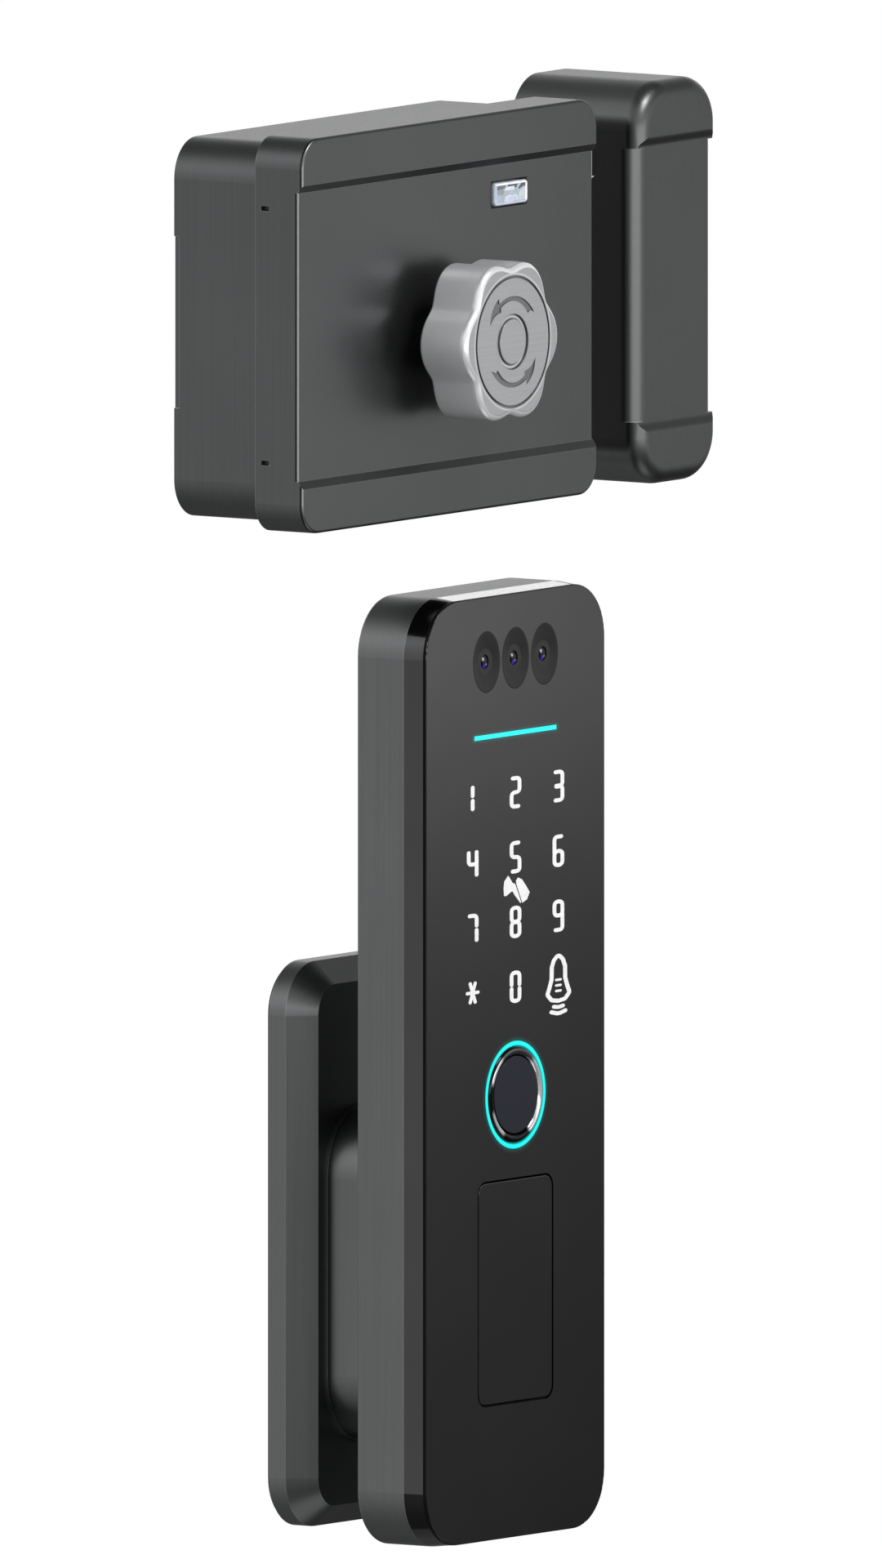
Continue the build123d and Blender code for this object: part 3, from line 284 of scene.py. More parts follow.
def front_glass():
    """Smoked glass that carries a faint painted glow beside the light bar and the ring light."""
    skin = dark_glass("front_glass")
    ring_gap = skin.gap(skin.from_axis(FINGER), RING_RADIUS)
    ring_halo = skin.ramp(ring_gap, 0.0004, 0.0019, 1.0, 0.0)
    low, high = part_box("light_bar")
    straight_half = (high.x - low.x) / 2 - 0.0015
    away_x = skin.math("MAXIMUM", skin.math("SUBTRACT", skin.gap(skin.axis("X"), 0.0), straight_half), 0.0)
    away_z = skin.gap(skin.axis("Z"), BAR.z)
    squares = [skin.math("POWER", away, 2.0) for away in (away_x, away_z)]
    bar_halo = skin.ramp(skin.math("SQRT", skin.math("ADD", *squares)), 0.0004, 0.0016, 1.0, 0.0)
    # Painted glow beside the ring light and the light bar.
    strength = skin.product(skin.math("MAXIMUM", ring_halo, bar_halo), 0.07)
    skin.feed(skin.shader, {"Emission Color": (0.0, 0.75, 0.70, 1), "Emission Strength": strength})
    return skin


def hatch_glass():
    return dark_glass("hatch_gloss")


def camera_surround():
    """Dark oval, lighter in a disc round each lens."""
    skin = Finish("camera_surround", (0.016, 0.016, 0.017), 0.42, IOR=1.28)
    skin.vary(skin.noise(400, 3), 0.08)
    skin.rough(skin.noise(500, 3), 0.38, 0.46)
    for middle in lens_places():
        skin.tint(skin.ramp(skin.from_axis(middle), 0.0028, 0.0036, 0.6, 0.0), (0.03, 0.03, 0.031))
    return skin


def lens():
    """Black coated lens with painted reflections: violet at its foot, a grey glint above and a pink one
    beside it.
    """
    skin = Finish("lens", (0.003, 0.003, 0.005), 0.06, IOR=1.25)
    skin.rough(skin.noise(3000, 2), 0.05, 0.09)
    for middle in lens_places():
        # Painted reflections: violet at the foot, a grey glint above and a pink glint beside it.
        for shift_x, shift_z, reach, colour in (
            (0.0, -1.05, 0.95, (0.045, 0.03, 0.42)),
            (-0.65, 0.75, 0.60, (0.42, 0.44, 0.47)),
            (0.75, -0.70, 0.42, (0.42, 0.25, 0.36)),
        ):
            spot = middle + Vector((shift_x, 0, shift_z)) * MM
            skin.tint(skin.ramp(skin.from_axis(spot), reach * MM, reach * 0.35 * MM), colour)
    return skin


def light_diffuser():
    """Cyan light, dimmer towards both edges of the ring. The bar is far from the ring and evenly lit."""
    skin = Finish("light_diffuser", (0.0, 0.25, 0.24), 0.3)
    speckle = skin.ramp(skin.noise(1200, 3), 0.2, 0.8, 0.92, 1.0)
    from_sensor = skin.from_axis(FINGER)
    off_middle = skin.gap(from_sensor, RING_RADIUS - 0.00005)
    beyond_ring = skin.ramp(from_sensor, 0.015, 0.016)
    profile = skin.math("MAXIMUM", skin.ramp(off_middle, 0.00062, 0.00028, 0.30, 1.0), beyond_ring)
    strength = skin.product(speckle, profile)
    skin.feed(skin.shader, {"Emission Color": (0.0, 0.92, 0.83, 1), "Emission Strength": strength})
    return skin


def sensor_chrome():
    """Bright chrome ring with painted dark reflections towards its top, its foot and its left, and painted
    shade on its outer rim.
    """
    skin = Finish("sensor_chrome", (0.85, 0.86, 0.87), 0.12, Metallic=0.75)
    fine = skin.noise(2500, 3)
    skin.vary(fine, 0.03)
    skin.rough(fine, 0.09, 0.15)
    offset = skin.add("VectorMath", {0: skin.place, 1: FINGER}, operation="SUBTRACT").outputs[0]
    way = skin.add("VectorMath", {0: offset}, operation="NORMALIZE").outputs[0]
    # Painted dark reflections towards the top, the foot and the left.
    for towards, edge, full, colour in (
        ((0.05, 0, 1), 0.70, 0.84, (0.09, 0.095, 0.10)),
        ((0, 0, -1), 0.80, 0.88, (0.003, 0.003, 0.004)),
        ((-1, 0, -0.02), 0.90, 0.96, (0.003, 0.003, 0.004)),
    ):
        along = skin.add("VectorMath", {0: way, 1: towards}, operation="DOT_PRODUCT").outputs["Value"]
        skin.tint(skin.ramp(along, edge, full), colour)
    # Painted shade on the outer rim, by the gap to the ring light.
    shaded_rim = skin.ramp(skin.from_axis(FINGER), BEZEL_RADIUS - 0.00025, BEZEL_RADIUS)
    skin.tint(shaded_rim, (0.004, 0.004, 0.005))
    return skin


def sensor_pad():
    skin = Finish("sensor_pad", (0.016, 0.019, 0.028), 0.42, IOR=1.3)
    grain = skin.noise(4000, 3)
    skin.vary(grain, 0.10)
    skin.rough(grain, 0.36, 0.48)
    skin.bump(grain, 0.004, 0.5)
    return skin


def knob_silver():
    """Satin silver with painted light: pale sides and a bright rolled edge as painted highlights, painted
    shade in the arrows and grooves, and painted shadow and glint lines round the cap and the face.
    """
    skin = Finish("knob_silver", (0.345, 0.35, 0.355), 0.30, Metallic=0.45)
    grain = skin.noise(2500, 4)
    turned = skin.noise(1800, 3, (0.02, 1, 1))
    skin.vary(turned, 0.04)
    skin.rough(grain, 0.27, 0.33)
    skin.bump(grain, 0.002, 0.3)
    depth = skin.math("SUBTRACT", skin.axis("Y"), KNOB_FACE_Y)
    off_axis = skin.from_axis(KNOB)
    on_face = skin.ramp(off_axis, FACE_RADIUS + 0.0001, FACE_RADIUS - 0.0001)
    beyond_cap = skin.ramp(off_axis, CAP_RADIUS - 0.0002, CAP_RADIUS + 0.0001)
    # Painted shade in the recesses of the face.
    skin.tint(skin.product(skin.ramp(depth, 0.00008, 0.00022), on_face, beyond_cap), (0.14, 0.14, 0.145))
    facing = skin.facing("Y")
    beyond_face = skin.ramp(off_axis, FACE_RADIUS - 0.0002, FACE_RADIUS + 0.0002)
    # Painted highlight on the sides.
    skin.tint(skin.product(skin.ramp(facing, 0.25, 0.10), beyond_face), (0.80, 0.81, 0.82))
    # Painted highlight on the rolled edge.
    rolled = skin.product(skin.ramp(facing, 0.15, 0.45), skin.ramp(facing, 0.995, 0.93))
    skin.tint(skin.product(rolled, beyond_face, 0.9), (0.95, 0.96, 0.97))
    # Painted shadow and glint lines round the cap and the face.
    shadow, glint = (0.10, 0.10, 0.105), (0.62, 0.62, 0.63)
    for radius, colour in ((0.0059, shadow), (0.0069, shadow), (0.0064, glint), (0.0172, glint)):
        line = skin.ramp(skin.gap(off_axis, radius), 0.00028, 0.00012)
        skin.tint(skin.product(line, 0.75), colour)
    return skin


def clear_button(name="clear_button", colour=(0.42, 0.48, 0.55), glow=0.0):
    """Clear moulded plastic whose inner facets read as paler and darker fields: on the facet pieces these
    are painted reflections and painted shade, and the glow is a painted glow.
    """
    skin = Finish(name, colour, 0.12, IOR=1.45)
    cloud = skin.noise(700, 3)
    skin.vary(cloud, 0.10)
    skin.rough(cloud, 0.08, 0.18)
    skin.feed(skin.shader, {"Emission Color": (*colour, 1), "Emission Strength": glow})
    return skin


def bright_steel():
    """Zinc-plated or ground steel with fine machining marks."""
    skin = Finish("steel", (0.43, 0.43, 0.44), 0.32, Metallic=1.0)
    marks = skin.noise(900, 4, (0.05, 1, 1))
    skin.vary(marks, 0.06)
    skin.vary(skin.noise(60, 3), 0.06)
    skin.rough(marks, 0.26, 0.40)
    skin.bump(marks, 0.004, 0.4)
    # Painted highlight: the edges are painted paler.
    skin.tint(skin.product(skin.edges(0.2), 0.4), (0.75, 0.75, 0.75))
    return skin


def brass():
    skin = Finish("brass", (0.72, 0.50, 0.20), 0.28, Metallic=1.0)
    marks = skin.noise(1200, 4, (0.05, 1, 1))
    skin.vary(marks, 0.04)
    skin.rough(marks, 0.24, 0.34)
    skin.bump(marks, 0.002, 0.25)
    return skin


def black_plastic():
    skin = Finish("black_plastic", (0.022, 0.022, 0.024), 0.5)
    grain = skin.noise(2200, 4)
    skin.vary(skin.noise(40, 3), 0.12)
    skin.rough(grain, 0.44, 0.56)
    skin.bump(grain, 0.02, 0.4)
    return skin


def rubber():
    skin = Finish("rubber", (0.018, 0.018, 0.018), 0.75)
    grain = skin.noise(1500, 4)
    skin.vary(grain, 0.15)
    skin.rough(grain, 0.68, 0.82)
    skin.bump(grain, 0.03, 0.4)
    return skin


def circuit_board():
    """Green lacquer over copper tracks, with tinned pads."""
    skin = Finish("circuit_board", (0.012, 0.075, 0.032), 0.35)
    inputs = {"Vector": skin.place, "Scale": 420.0, "Color1": (0, 0, 0, 1), "Color2": (0, 0, 0, 1),
              "Mortar": (1, 1, 1, 1), "Mortar Size": 0.05, "Brick Width": 1.6, "Row Height": 0.35}
    tracks = skin.add("TexBrick", inputs).outputs["Fac"]
    skin.tint(skin.product(tracks, 0.5), (0.03, 0.16, 0.06))
    inputs = {"Vector": skin.place, "Scale": 330.0, "Randomness": 0.6}
    from_pad = skin.add("TexVoronoi", inputs).outputs["Distance"]
    skin.tint(skin.ramp(from_pad, 0.16, 0.12), (0.6, 0.6, 0.58))
    skin.bump(tracks, 0.03, 0.5)
    return skin


def cell_wrap():
    """Dark sleeve with a copper-coloured end band."""
    skin = Finish("cell_wrap", (0.03, 0.03, 0.034), 0.3)
    along = skin.add("TexWave", {"Vector": skin.place, "Scale": 6.0, "Distortion": 0.2}).outputs["Fac"]
    skin.tint(skin.ramp(along, 0.80, 0.82), (0.55, 0.27, 0.10))
    skin.rough(skin.noise(500, 3), 0.24, 0.36)
    return skin


def legend_white():
    """White printing, evenly lit from behind."""
    skin = Finish("legend_white", (0.45, 0.45, 0.45), 0.4)
    strength = skin.ramp(skin.noise(900, 2), 0.3, 0.7, 0.46, 0.54)
    skin.feed(skin.shader, {"Emission Color": (1, 1, 1, 1), "Emission Strength": strength})
    return skin


def lens_places():
    """Centres of the three camera lenses on the glass plane."""
    low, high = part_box("camera_lenses")
    radius = (high.z - low.z) / 2
    middle = (low + high) / 2
    reach = (high.x - low.x) / 2 - radius
    return [Vector((middle.x + side * reach, GLASS_Y, middle.z)) for side in (-1, 0, 1)]


FINISHES = {
    "black_casing": casing, "polished_trim": polished_trim, "front_glass": front_glass,
    "hatch_gloss": hatch_glass, "camera_surround": camera_surround, "lens": lens,
    "light_diffuser": light_diffuser, "sensor_chrome": sensor_chrome, "sensor_pad": sensor_pad,
    "knob_silver": knob_silver, "clear_button": clear_button, "steel": bright_steel, "brass": brass,
    "black_plastic": black_plastic, "rubber": rubber, "circuit_board": circuit_board,
    "cell_wrap": cell_wrap,
}
materials = {slot: make().material for slot, make in FINISHES.items()}


def paint(obj, material):
    obj.data.materials.clear()
    obj.data.materials.append(material)


for part in frame["record"]["subparts"]:
    paint(nodes[part["node"]], materials[part["material_slot"]])
# The rim lock's and the keeper's casings are a shade darker than the handle's.
paint(nodes["lock_case"], casing("rim_casing", RIM_COLOUR).material)
paint(nodes["front_cover"], cover_casing().material)
paint(nodes["keeper_case"], keeper_casing().material)

# The units are mounted apart, so the upper two don't show as reflections. The front cover and what is
# on it do, because the knob and the cover mirror each other.
MIRRORED = ("front_cover", "knob", "knob_cap", "exit_button")
handle_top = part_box("handle_shell")[1].z
for name, node in nodes.items():
    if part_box(name)[0].z > handle_top and name not in MIRRORED:
        node.visible_glossy = False


# ---- flat legends on the glass ----
CORNER_STEPS = 6
END_STEPS = 8


def rounded(points, radius, closed=False):
    """The corners of a line of points turned into short arcs."""
    count = len(points)
    line = []
    for index, point in enumerate(points):
        corner = Vector(point)
        if not closed and index in (0, count - 1):
            line.append(corner)
            continue
        before = Vector(points[index - 1]) - corner
        after = Vector(points[(index + 1) % count]) - corner
        half = before.angle(after) / 2
        back = min(radius / math.tan(half), before.length / 2, after.length / 2)
        start, end = corner + before.normalized() * back, corner + after.normalized() * back
        for step in range(CORNER_STEPS + 1):
            share = step / CORNER_STEPS
            line.append(start * (1 - share) ** 2 + corner * 2 * share * (1 - share) + end * share ** 2)
    return line


def sides_of(line, width, closed):
    """Left and right edges of a stroke that follows a line."""
    left, right = [], []
    count = len(line)
    for index, point in enumerate(line):
        before = line[index - 1] if closed or index else line[0]
        after = line[(index + 1) % count] if closed or index < count - 1 else line[-1]
        along = (after - before).normalized()
        across = Vector((-along.y, along.x)) * width / 2
        left.append(point + across)
        right.append(point - across)
    return left, right


def round_end(end, towards, width):
    """Half-circle of points round a stroke's end, from its right side to its left."""
    start = math.atan2(towards.y, towards.x) - math.pi / 2
    turns = [start + math.pi * step / END_STEPS for step in range(1, END_STEPS)]
    return [end + Vector((math.cos(turn), math.sin(turn))) * width / 2 for turn in turns]


def new_mesh(name, mesh_data, material, body):
    mesh = bpy.data.meshes.new(name)
    mesh_data.to_mesh(mesh)
    mesh_data.free()
    obj = bpy.data.objects.new(name, mesh)
    scene.collection.objects.link(obj)
    paint(obj, material)
    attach(obj, body)
    return obj


class Print:
    """Flat shapes in (right, up) millimetres about a point on the glass, made into one thin solid."""

    def __init__(self, middle, stretch=1.0, thick_mm=0.03):
        self.shape = bmesh.new()
        self.middle, self.stretch, self.thick = middle, stretch, thick_mm * MM

    def corner(self, point):
        x = self.middle.x + point[0] * self.stretch * MM
        return self.shape.verts.new((x, self.middle.y, self.middle.z + point[1] * MM))

    def face(self, points):
        return self.shape.faces.new([self.corner(point) for point in points])

    def stroke(self, points, width, radius=0.9, closed=False):
        line = rounded(points, radius, closed)
        left, right = sides_of(line, width, closed)
        if closed:
            outer, inner = [self.corner(p) for p in left], [self.corner(p) for p in right]
            for index in range(len(line)):
                after = (index + 1) % len(line)
                self.shape.faces.new([outer[index], outer[after], inner[after], inner[index]])
            return
        ends = round_end(line[-1], line[-1] - line[-2], width)
        starts = round_end(line[0], line[0] - line[1], width)
        self.face(right + ends + left[::-1] + starts)

    def finish(self, name, material, slot_name, body="root"):
        flat = self.shape.faces[:]
        grown = bmesh.ops.extrude_face_region(self.shape, geom=flat)["geom"]
        raised = [part for part in grown if isinstance(part, bmesh.types.BMVert)]
        bmesh.ops.translate(self.shape, verts=raised, vec=(0, -self.thick, 0))
        bmesh.ops.recalc_face_normals(self.shape, faces=self.shape.faces[:])
        return new_mesh(name, self.shape, material, body)


# Sideways stretch of the digits, and of the bell and the button's facets.
STRETCH, WIDE_STRETCH = 1.66, 1.79
# Line width of a digit, half its size right and up, half the cut in a stroke, and its corner radius.
STROKE = 1.0
DIGIT_X, DIGIT_Z = 1.08, 3.58
CUT, CORNER = 0.62, 1.05


def digit_strokes(key):
    """Open and closed lines of a digit, in millimetres right of and above its middle before the stretch."""
    a, b = DIGIT_X, DIGIT_Z
    loop_low = [(-a, -0.05), (a, -0.05), (a, -b), (-a, -b)]
    loop_high = [(-a, b), (a, b), (a, 0.05), (-a, 0.05)]
    return {
        "1": ([[(0, 2.7), (0, CUT)], [(0, -CUT), (0, -2.7)]], []),
        "2": ([[(-a + 0.3, b), (a, b), (a, 0), (-a, 0), (-a, -b), (a - 0.3, -b)]], []),
        "3": ([[(-a + 0.3, b), (a, b), (a, 0.1), (-a + 0.5, 0.1)],
               [(-a + 0.5, -0.1), (a, -0.1), (a, -b), (-a + 0.3, -b)]], []),
        "4": ([[(-a, 2.7), (-a, -0.3), (a - 0.3, -0.3)], [(a, 2.7), (a, -3.0)]], []),
        "5": ([[(a - 0.3, b), (-a, b), (-a, 0), (a, 0), (a, -b), (-a + 0.3, -b)]], []),
        "6": ([[(a - 0.3, b), (-a, b), (-a, -0.4)]], [loop_low]),
        "7": ([[(-a + 0.25, 3.1), (a, 3.1), (a, CUT - 0.1)], [(a, -CUT), (a, -3.1)]], []),
        "8": ([], [loop_high, loop_low]),
        "9": ([[(a, 0.4), (a, -b), (-a + 0.3, -b)]], [loop_high]),
        "0": ([[(-a, CUT - 0.1), (-a, b), (a, b), (a, CUT - 0.1)],
               [(-a, -CUT + 0.1), (-a, -b), (a, -b), (a, -CUT + 0.1)]], []),
    }[key]


KEY_COLUMNS_MM = (-19.4, 0.0, 19.4)
KEY_TOP_MM, KEY_PITCH_MM = 69.0, 16.4
KEY_ROWS = ("123", "456", "789", "*0")
BELL_DROP_MM, CARD_DROP_MM = 0.9, 0.1
STAR_HALF = (1.45, 2.7)


def key_place(column, row):
    z = GLASS.z + (KEY_TOP_MM - row * KEY_PITCH_MM) * MM
    return Vector((GLASS.x + KEY_COLUMNS_MM[column] * MM, GLASS_Y, z))


def add_digit(key, place, ink):
    drawing = Print(place, STRETCH)
    if key == "*":
        for turn in (0, 62, 118):
            x = STAR_HALF[0] * math.cos(math.radians(turn))
            z = STAR_HALF[1] * math.sin(math.radians(turn))
            drawing.stroke([(-x, -z), (x, z)], 0.85)
        return drawing.finish("legend_star", ink, "light_diffuser")
    lines, loops = digit_strokes(key)
    for line in lines:
        drawing.stroke(line, STROKE, CORNER)
    for loop in loops:
        drawing.stroke(loop, STROKE, CORNER, closed=True)
    return drawing.finish("legend_" + key, ink, "light_diffuser")


def add_bell(place, ink):
    """Doorbell sign: pointed dome that flares at its foot, over two curved bars."""
    drawing = Print(place, WIDE_STRETCH)
    half = [(0, 7.5), (1.15, 6.1), (1.68, 4.4), (1.72, 1.4), (2.2, -0.5), (2.8, -2.4), (1.7, -3.9),
            (0, -4.25)]
    dome = half + [(-x, z) for x, z in half[-2:0:-1]]
    drawing.stroke(dome, 1.0, 0.8, closed=True)
    drawing.stroke([(-1.15, -5.6), (0, -5.85), (1.15, -5.6)], 0.95, 2)
    drawing.stroke([(-1.75, -6.9), (0, -7.5), (1.75, -6.9)], 1.0, 2)
    for z in (1.1, -0.3, -1.7):
        drawing.stroke([(-0.55, z), (0.55, z)], 0.6)
    return drawing.finish("legend_bell", ink, "light_diffuser")


def add_card_sign(place, ink):
    """A hand and a card held against the reader, as two plain shapes."""
    drawing = Print(place)
    hand = [(-3.3, 3.9), (-5.1, 2.5), (-5.4, 0.8), (-5.2, -1.2), (-4.1, -1.2), (-2.2, -0.4), (-1.4, -0.2),
            (-0.4, -1.3), (2.3, -3.6), (2.5, -3.2), (-0.1, 1.4), (-0.6, 1.75), (-1.2, 1.75)]
    card = [(0.15, 2.3), (1.1, 3.05), (2.9, 2.45), (4.4, 1.05), (6.4, -1.05), (5.2, -2.8), (2.95, -3.55),
            (2.75, -2.9), (0.5, 1.2)]
    for outline in (hand, card):
        drawing.face(rounded(outline, 0.35, closed=True))
    return drawing.finish("legend_card", ink, "light_diffuser")


ink = legend_white().material
for row, keys in enumerate(KEY_ROWS):
    for column, key in enumerate(keys):
        add_digit(key, key_place(column, row), ink)
add_bell(key_place(2, 3) - Vector((0, 0, BELL_DROP_MM * MM)), ink)
add_card_sign((key_place(1, 1) + key_place(1, 2)) / 2 - Vector((0, 0, CARD_DROP_MM * MM)), ink)


# ---- facets of the exit button, as thin pieces on its front ----
def finish_facet(drawing, name, colour, glow):
    finish = clear_button("button_" + name, colour, glow).material
    drawing.finish("button_" + name, finish, "clear_button", "exit_button")


def add_button_facets():
    """Pale rim, tab and fields that the button's moulded back shows through its clear front, as painted
    light: painted highlights and reflections on the rim, the tab and the paler fields, painted shade on the
    darker ones.
    """
    middle = Vector((BUTTON.x, front_of("exit_button"), BUTTON.z))
    rim, lilac = ((0.86, 0.88, 0.91), 0.28), ((0.50, 0.54, 0.66), 0.12)
    deep_shade, dark_shade = ((0.17, 0.165, 0.165), 0.0), ((0.09, 0.10, 0.12), 0.0)
    pale, bright_sheen, soft_shade = ((0.52, 0.58, 0.64), 0.08), ((0.66, 0.70, 0.74), 0.08), ((0.29, 0.33, 0.37), 0.0)
    # Darker fields are painted shade; paler ones are painted reflections with a painted glow.
    fields = (
        ("corner_shade", deep_shade, [(-3.6, 2.15), (-1.3, 2.15), (-1.5, 1.35), (-3.5, 1.0)]),
        ("left_shade", soft_shade, [(-3.5, 0.9), (-2.0, 1.2), (-1.7, 0.3), (-2.3, -0.3), (-3.5, -0.2)]),
        ("top_shade", dark_shade, [(-0.9, 2.2), (1.7, 2.2), (1.35, 1.3), (0.9, 1.1), (0.9, 1.7), (-0.8, 1.7)]),
        ("top_facet", bright_sheen, [(-1.35, 1.55), (0.8, 1.6), (0.75, 0.75), (-1.6, 0.7)]),
        ("side_shade", dark_shade, [(1.9, 0.6), (1.8, 1.1), (2.6, 2.2), (3.6, 2.2), (3.6, 1.5), (2.6, 1.1)]),
        ("side_facet", pale, [(2.0, 0.3), (3.55, 1.2), (3.55, -2.1), (1.9, -2.1)]),
        ("tab_fill", lilac, [(-1.5, -2.2), (-1.15, -0.75), (1.25, -0.75), (1.5, -2.1)]),
    )
    # Painted highlights along the rim and the tab's edge.
    strokes = (
        ("rim_lower", lilac, [(-3.80, 2.3), (-3.88, -2.42), (3.6, -2.42)], 0.34),
        ("rim_upper", rim, [(-3.75, 2.43), (3.82, 2.43), (3.82, -2.1)], 0.40),
        ("tab_edge", bright_sheen, [(-1.65, -2.05), (-1.25, -0.7), (1.35, -0.7), (1.6, -1.9)], 0.24),
    )
    for name, (colour, glow), outline in fields:
        drawing = Print(middle, WIDE_STRETCH, 0.02)
        drawing.face(rounded(outline, 0.2, closed=True))
        finish_facet(drawing, name, colour, glow)
    for name, (colour, glow), line, width in strokes:
        drawing = Print(middle, WIDE_STRETCH, 0.03)
        drawing.stroke(line, width, 0.35)
        finish_facet(drawing, name, colour, glow)


add_button_facets()


def add_latch_coil():
    """The coil of the CAD, copied into a piece of its own."""
    coil = bpy.data.objects.new("latch_coil", nodes["latch_spring"].data.copy())
    scene.collection.objects.link(coil)
    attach(coil, "root")
    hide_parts("latch_spring")
    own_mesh(coil)


add_latch_coil()


# ---- camera, light and floor ----
AIM_MM = (23.2, -14.8, 113.1)
AZIMUTH, ELEVATION = math.radians(-56.2), math.radians(5.62)
DISTANCE, FRAME_HEIGHT = 6.0, 0.3948
LOCK_MM = (20, -50, 245)
HANDLE_FOOT_MM = (0, -10, -10)


def add_camera():
    """Parallel projection: every level edge runs at the same slope, at the top and at the foot."""
    level = math.cos(ELEVATION)
    back = Vector((math.sin(AZIMUTH) * level, -math.cos(AZIMUTH) * level, math.sin(ELEVATION)))
    data = bpy.data.cameras.new("camera")
    data.type = "ORTHO"
    data.ortho_scale = FRAME_HEIGHT
    data.clip_end = 40.0
    camera = bpy.data.objects.new("camera", data)
    camera.location = Vector(AIM_MM) * MM + back * DISTANCE
    camera.rotation_mode = "QUATERNION"
    camera.rotation_quaternion = (-back).to_track_quat("-Z", "Y")
    scene.collection.objects.link(camera)
    scene.camera = camera


def add_panel(name, aim_mm, towards, distance, width, height, power):
    """Soft rectangular light, out along a direction from the point it aims at."""
    data = bpy.data.lights.new(name, "AREA")
    data.shape = "RECTANGLE"
    data.size, data.size_y, data.energy = width, height, power
    light = bpy.data.objects.new(name, data)
    way = Vector(towards).normalized()
    light.location = Vector(aim_mm) * MM + way * distance
    light.rotation_mode = "QUATERNION"
    light.rotation_quaternion = way.to_track_quat("Z", "Y")
    light.visible_camera = False
    scene.collection.objects.link(light)


def grey_ramp(tree, source, stops):
    """Colour ramp through (position, brightness) stops."""
    ramp = tree.nodes.new("ShaderNodeValToRGB")
    while len(ramp.color_ramp.elements) < len(stops):
        ramp.color_ramp.elements.new(0.5)
    for element, (position, value) in zip(ramp.color_ramp.elements, stops, strict=True):
        element.position = position
        element.color = (value, value, value, 1)
    tree.links.new(source, ramp.inputs[0])
    return ramp.outputs[0]


def map_range(tree, source, low, high, to_low=0.0, to_high=1.0):
    """A straight slope from one value to another as the input goes from low to high."""
    node = tree.nodes.new("ShaderNodeMapRange")
    for index, value in enumerate((low, high, to_low, to_high), 1):
        node.inputs[index].default_value = value
    tree.links.new(source, node.inputs[0])
    return node.outputs[0]


# Brightness of the room by the sine of the height angle, on the left and on the right of the set.
LEFT_SKY = [(-1.0, 0.30), (-0.83, 0.36), (-0.60, 0.50), (-0.376, 0.70), (-0.098, 0.90), (0.19, 1.45),
            (0.457, 1.85), (0.667, 1.25), (0.80, 0.30), (1.0, 0.15)]
RIGHT_SKY = [(-1.0, 0.30), (-0.83, 0.30), (-0.667, 0.15), (-0.457, 0.11), (-0.10, 0.46), (0.098, 0.60),
             (0.17, 0.66), (0.195, 2.3), (0.235, 2.3), (0.26, 0.74), (0.375, 0.80), (0.607, 0.55),
             (0.765, 0.18), (1.0, 0.14)]
# How much of it is left towards the front, by the Y of a direction.
FRONT_SHARE = [(-1.0, 0.50), (-0.6, 0.46), (-0.25, 0.42), (0.0, 0.60), (0.35, 1.0), (1.0, 1.0)]


def add_world():
    """Even white behind the object, and a soft room round it that is brighter on the left."""
    world = bpy.data.worlds.new("studio")
    world.use_nodes = True
    tree = world.node_tree
    tree.nodes.clear()
    place = tree.nodes.new("ShaderNodeTexCoord")
    split = tree.nodes.new("ShaderNodeSeparateXYZ")
    tree.links.new(place.outputs["Generated"], split.inputs[0])
    height = map_range(tree, split.outputs["Z"], -1.0, 1.0)
    left, right = (grey_ramp(tree, height, [((z + 1) / 2, value) for z, value in sky])
                   for sky in (LEFT_SKY, RIGHT_SKY))
    side = map_range(tree, split.outputs["X"], -0.35, 0.35)
    room = tree.nodes.new("ShaderNodeMix")
    room.data_type = "RGBA"
    depth = map_range(tree, split.outputs["Y"], -1.0, 1.0)
    dim = grey_ramp(tree, depth, [((y + 1) / 2, share) for y, share in FRONT_SHARE])
    soft = tree.nodes.new("ShaderNodeBackground")
    plain = tree.nodes.new("ShaderNodeBackground")
    plain.inputs[0].default_value = (1, 1, 1, 1)
    path = tree.nodes.new("ShaderNodeLightPath")
    choose = tree.nodes.new("ShaderNodeMixShader")
    out = tree.nodes.new("ShaderNodeOutputWorld")
    for source, target in (
        (side, room.inputs[0]), (left, room.inputs[6]), (right, room.inputs[7]),
        (room.outputs[2], soft.inputs[0]), (dim, soft.inputs[1]),
        (path.outputs["Is Camera Ray"], choose.inputs[0]), (soft.outputs[0], choose.inputs[1]),
        (plain.outputs[0], choose.inputs[2]), (choose.outputs[0], out.inputs[0]),
    ):
        tree.links.new(source, target)
    scene.world = world


# Softbox that the front faces mirror: brightness by height in metres, its direction in the level plane,
# its distance from the origin and half its width. The part further in front is brighter than the rest.
CARD_STOPS = [(-0.30, 0.12), (-0.13, 0.19), (-0.02, 0.34), (0.03, 0.58), (0.06, 0.92), (0.10, 1.35),
              (0.14, 1.20), (0.25, 1.20), (0.45, 0.90)]
CARD_TURN, CARD_DISTANCE, CARD_HALF_WIDTH = math.radians(-33.8), 0.60, 0.30
CARD_FRONT, CARD_BACK = 1.08, 0.53
CARD_PEAK = 2.0


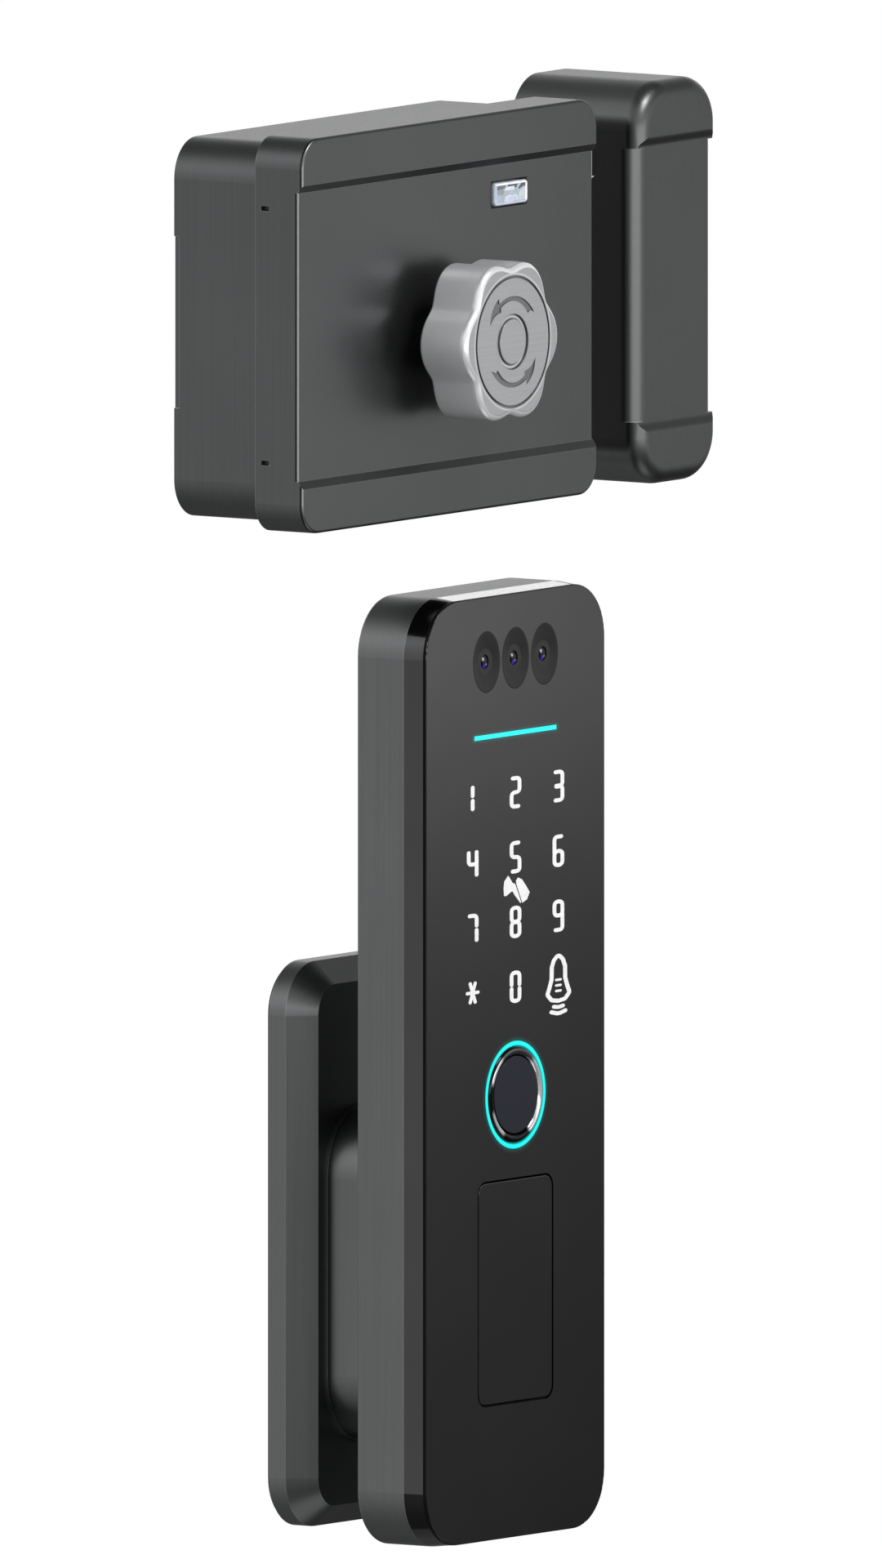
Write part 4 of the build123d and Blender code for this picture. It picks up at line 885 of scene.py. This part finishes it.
def add_card():
    """Large upright softbox on the right in front, which fades towards its foot."""
    away = Vector((math.cos(CARD_TURN), math.sin(CARD_TURN), 0.0))
    across = Vector((-away.y, away.x, 0.0))
    low, high = CARD_STOPS[0][0], CARD_STOPS[-1][0]
    shape = bmesh.new()
    middle, side = away * CARD_DISTANCE, across * CARD_HALF_WIDTH
    foot, head = Vector((0, 0, low)), Vector((0, 0, high))
    corners = (middle - side + foot, middle + side + foot, middle + side + head, middle - side + head)
    shape.faces.new([shape.verts.new(corner) for corner in corners])
    mesh = bpy.data.meshes.new("card")
    shape.to_mesh(mesh)
    shape.free()
    card = bpy.data.objects.new("card", mesh)
    scene.collection.objects.link(card)
    glow = Finish("card", (0, 0, 0), 1.0, Specular_IOR_Level=0.0)
    share = map_range(glow.tree, glow.axis("Z"), low, high)
    stops = [((z - low) / (high - low), value / CARD_PEAK) for z, value in CARD_STOPS]
    light = grey_ramp(glow.tree, share, stops)
    sideways = glow.add("VectorMath", {0: glow.place, 1: across}, operation="DOT_PRODUCT").outputs["Value"]
    fade = map_range(glow.tree, sideways, -0.08, 0.02, CARD_FRONT, CARD_BACK)
    glow.feed(glow.shader, {"Emission Color": light, "Emission Strength": glow.product(fade, CARD_PEAK)})
    paint(card, glow.material)
    card.visible_camera = False


FLOOR_DROP = 0.30


def add_floor():
    """Pale floor well below the set, which hangs on a door that isn't shown."""
    shape = bmesh.new()
    bmesh.ops.create_circle(shape, cap_ends=True, radius=3.0, segments=96)
    mesh = bpy.data.meshes.new("floor")
    shape.to_mesh(mesh)
    shape.free()
    floor = bpy.data.objects.new("floor", mesh)
    floor.location.z = cad_box[0].z - FLOOR_DROP
    scene.collection.objects.link(floor)
    pale = Finish("pale_floor", (0.85, 0.85, 0.85), 0.6)
    pale.vary(pale.noise(6, 3), 0.02)
    pale.feed(pale.shader, {"Emission Color": (1, 1, 1, 1), "Emission Strength": 0.8})
    paint(floor, pale.material)
    floor.visible_diffuse = False
    floor.visible_glossy = False


add_camera()
add_world()
add_card()
add_panel("front_left", LOCK_MM, (-0.24, -0.97, -0.06), 0.8, 1.15, 0.24, 2.5)
add_panel("front_top", LOCK_MM, (0.0, -0.64, 0.75), 0.8, 0.30, 0.26, 3.6)
add_panel("front_low", HANDLE_FOOT_MM, (0.07, -0.50, -0.86), 0.6, 0.50, 0.40, 0.5)
add_floor()
scene.view_settings.view_transform = "Standard"
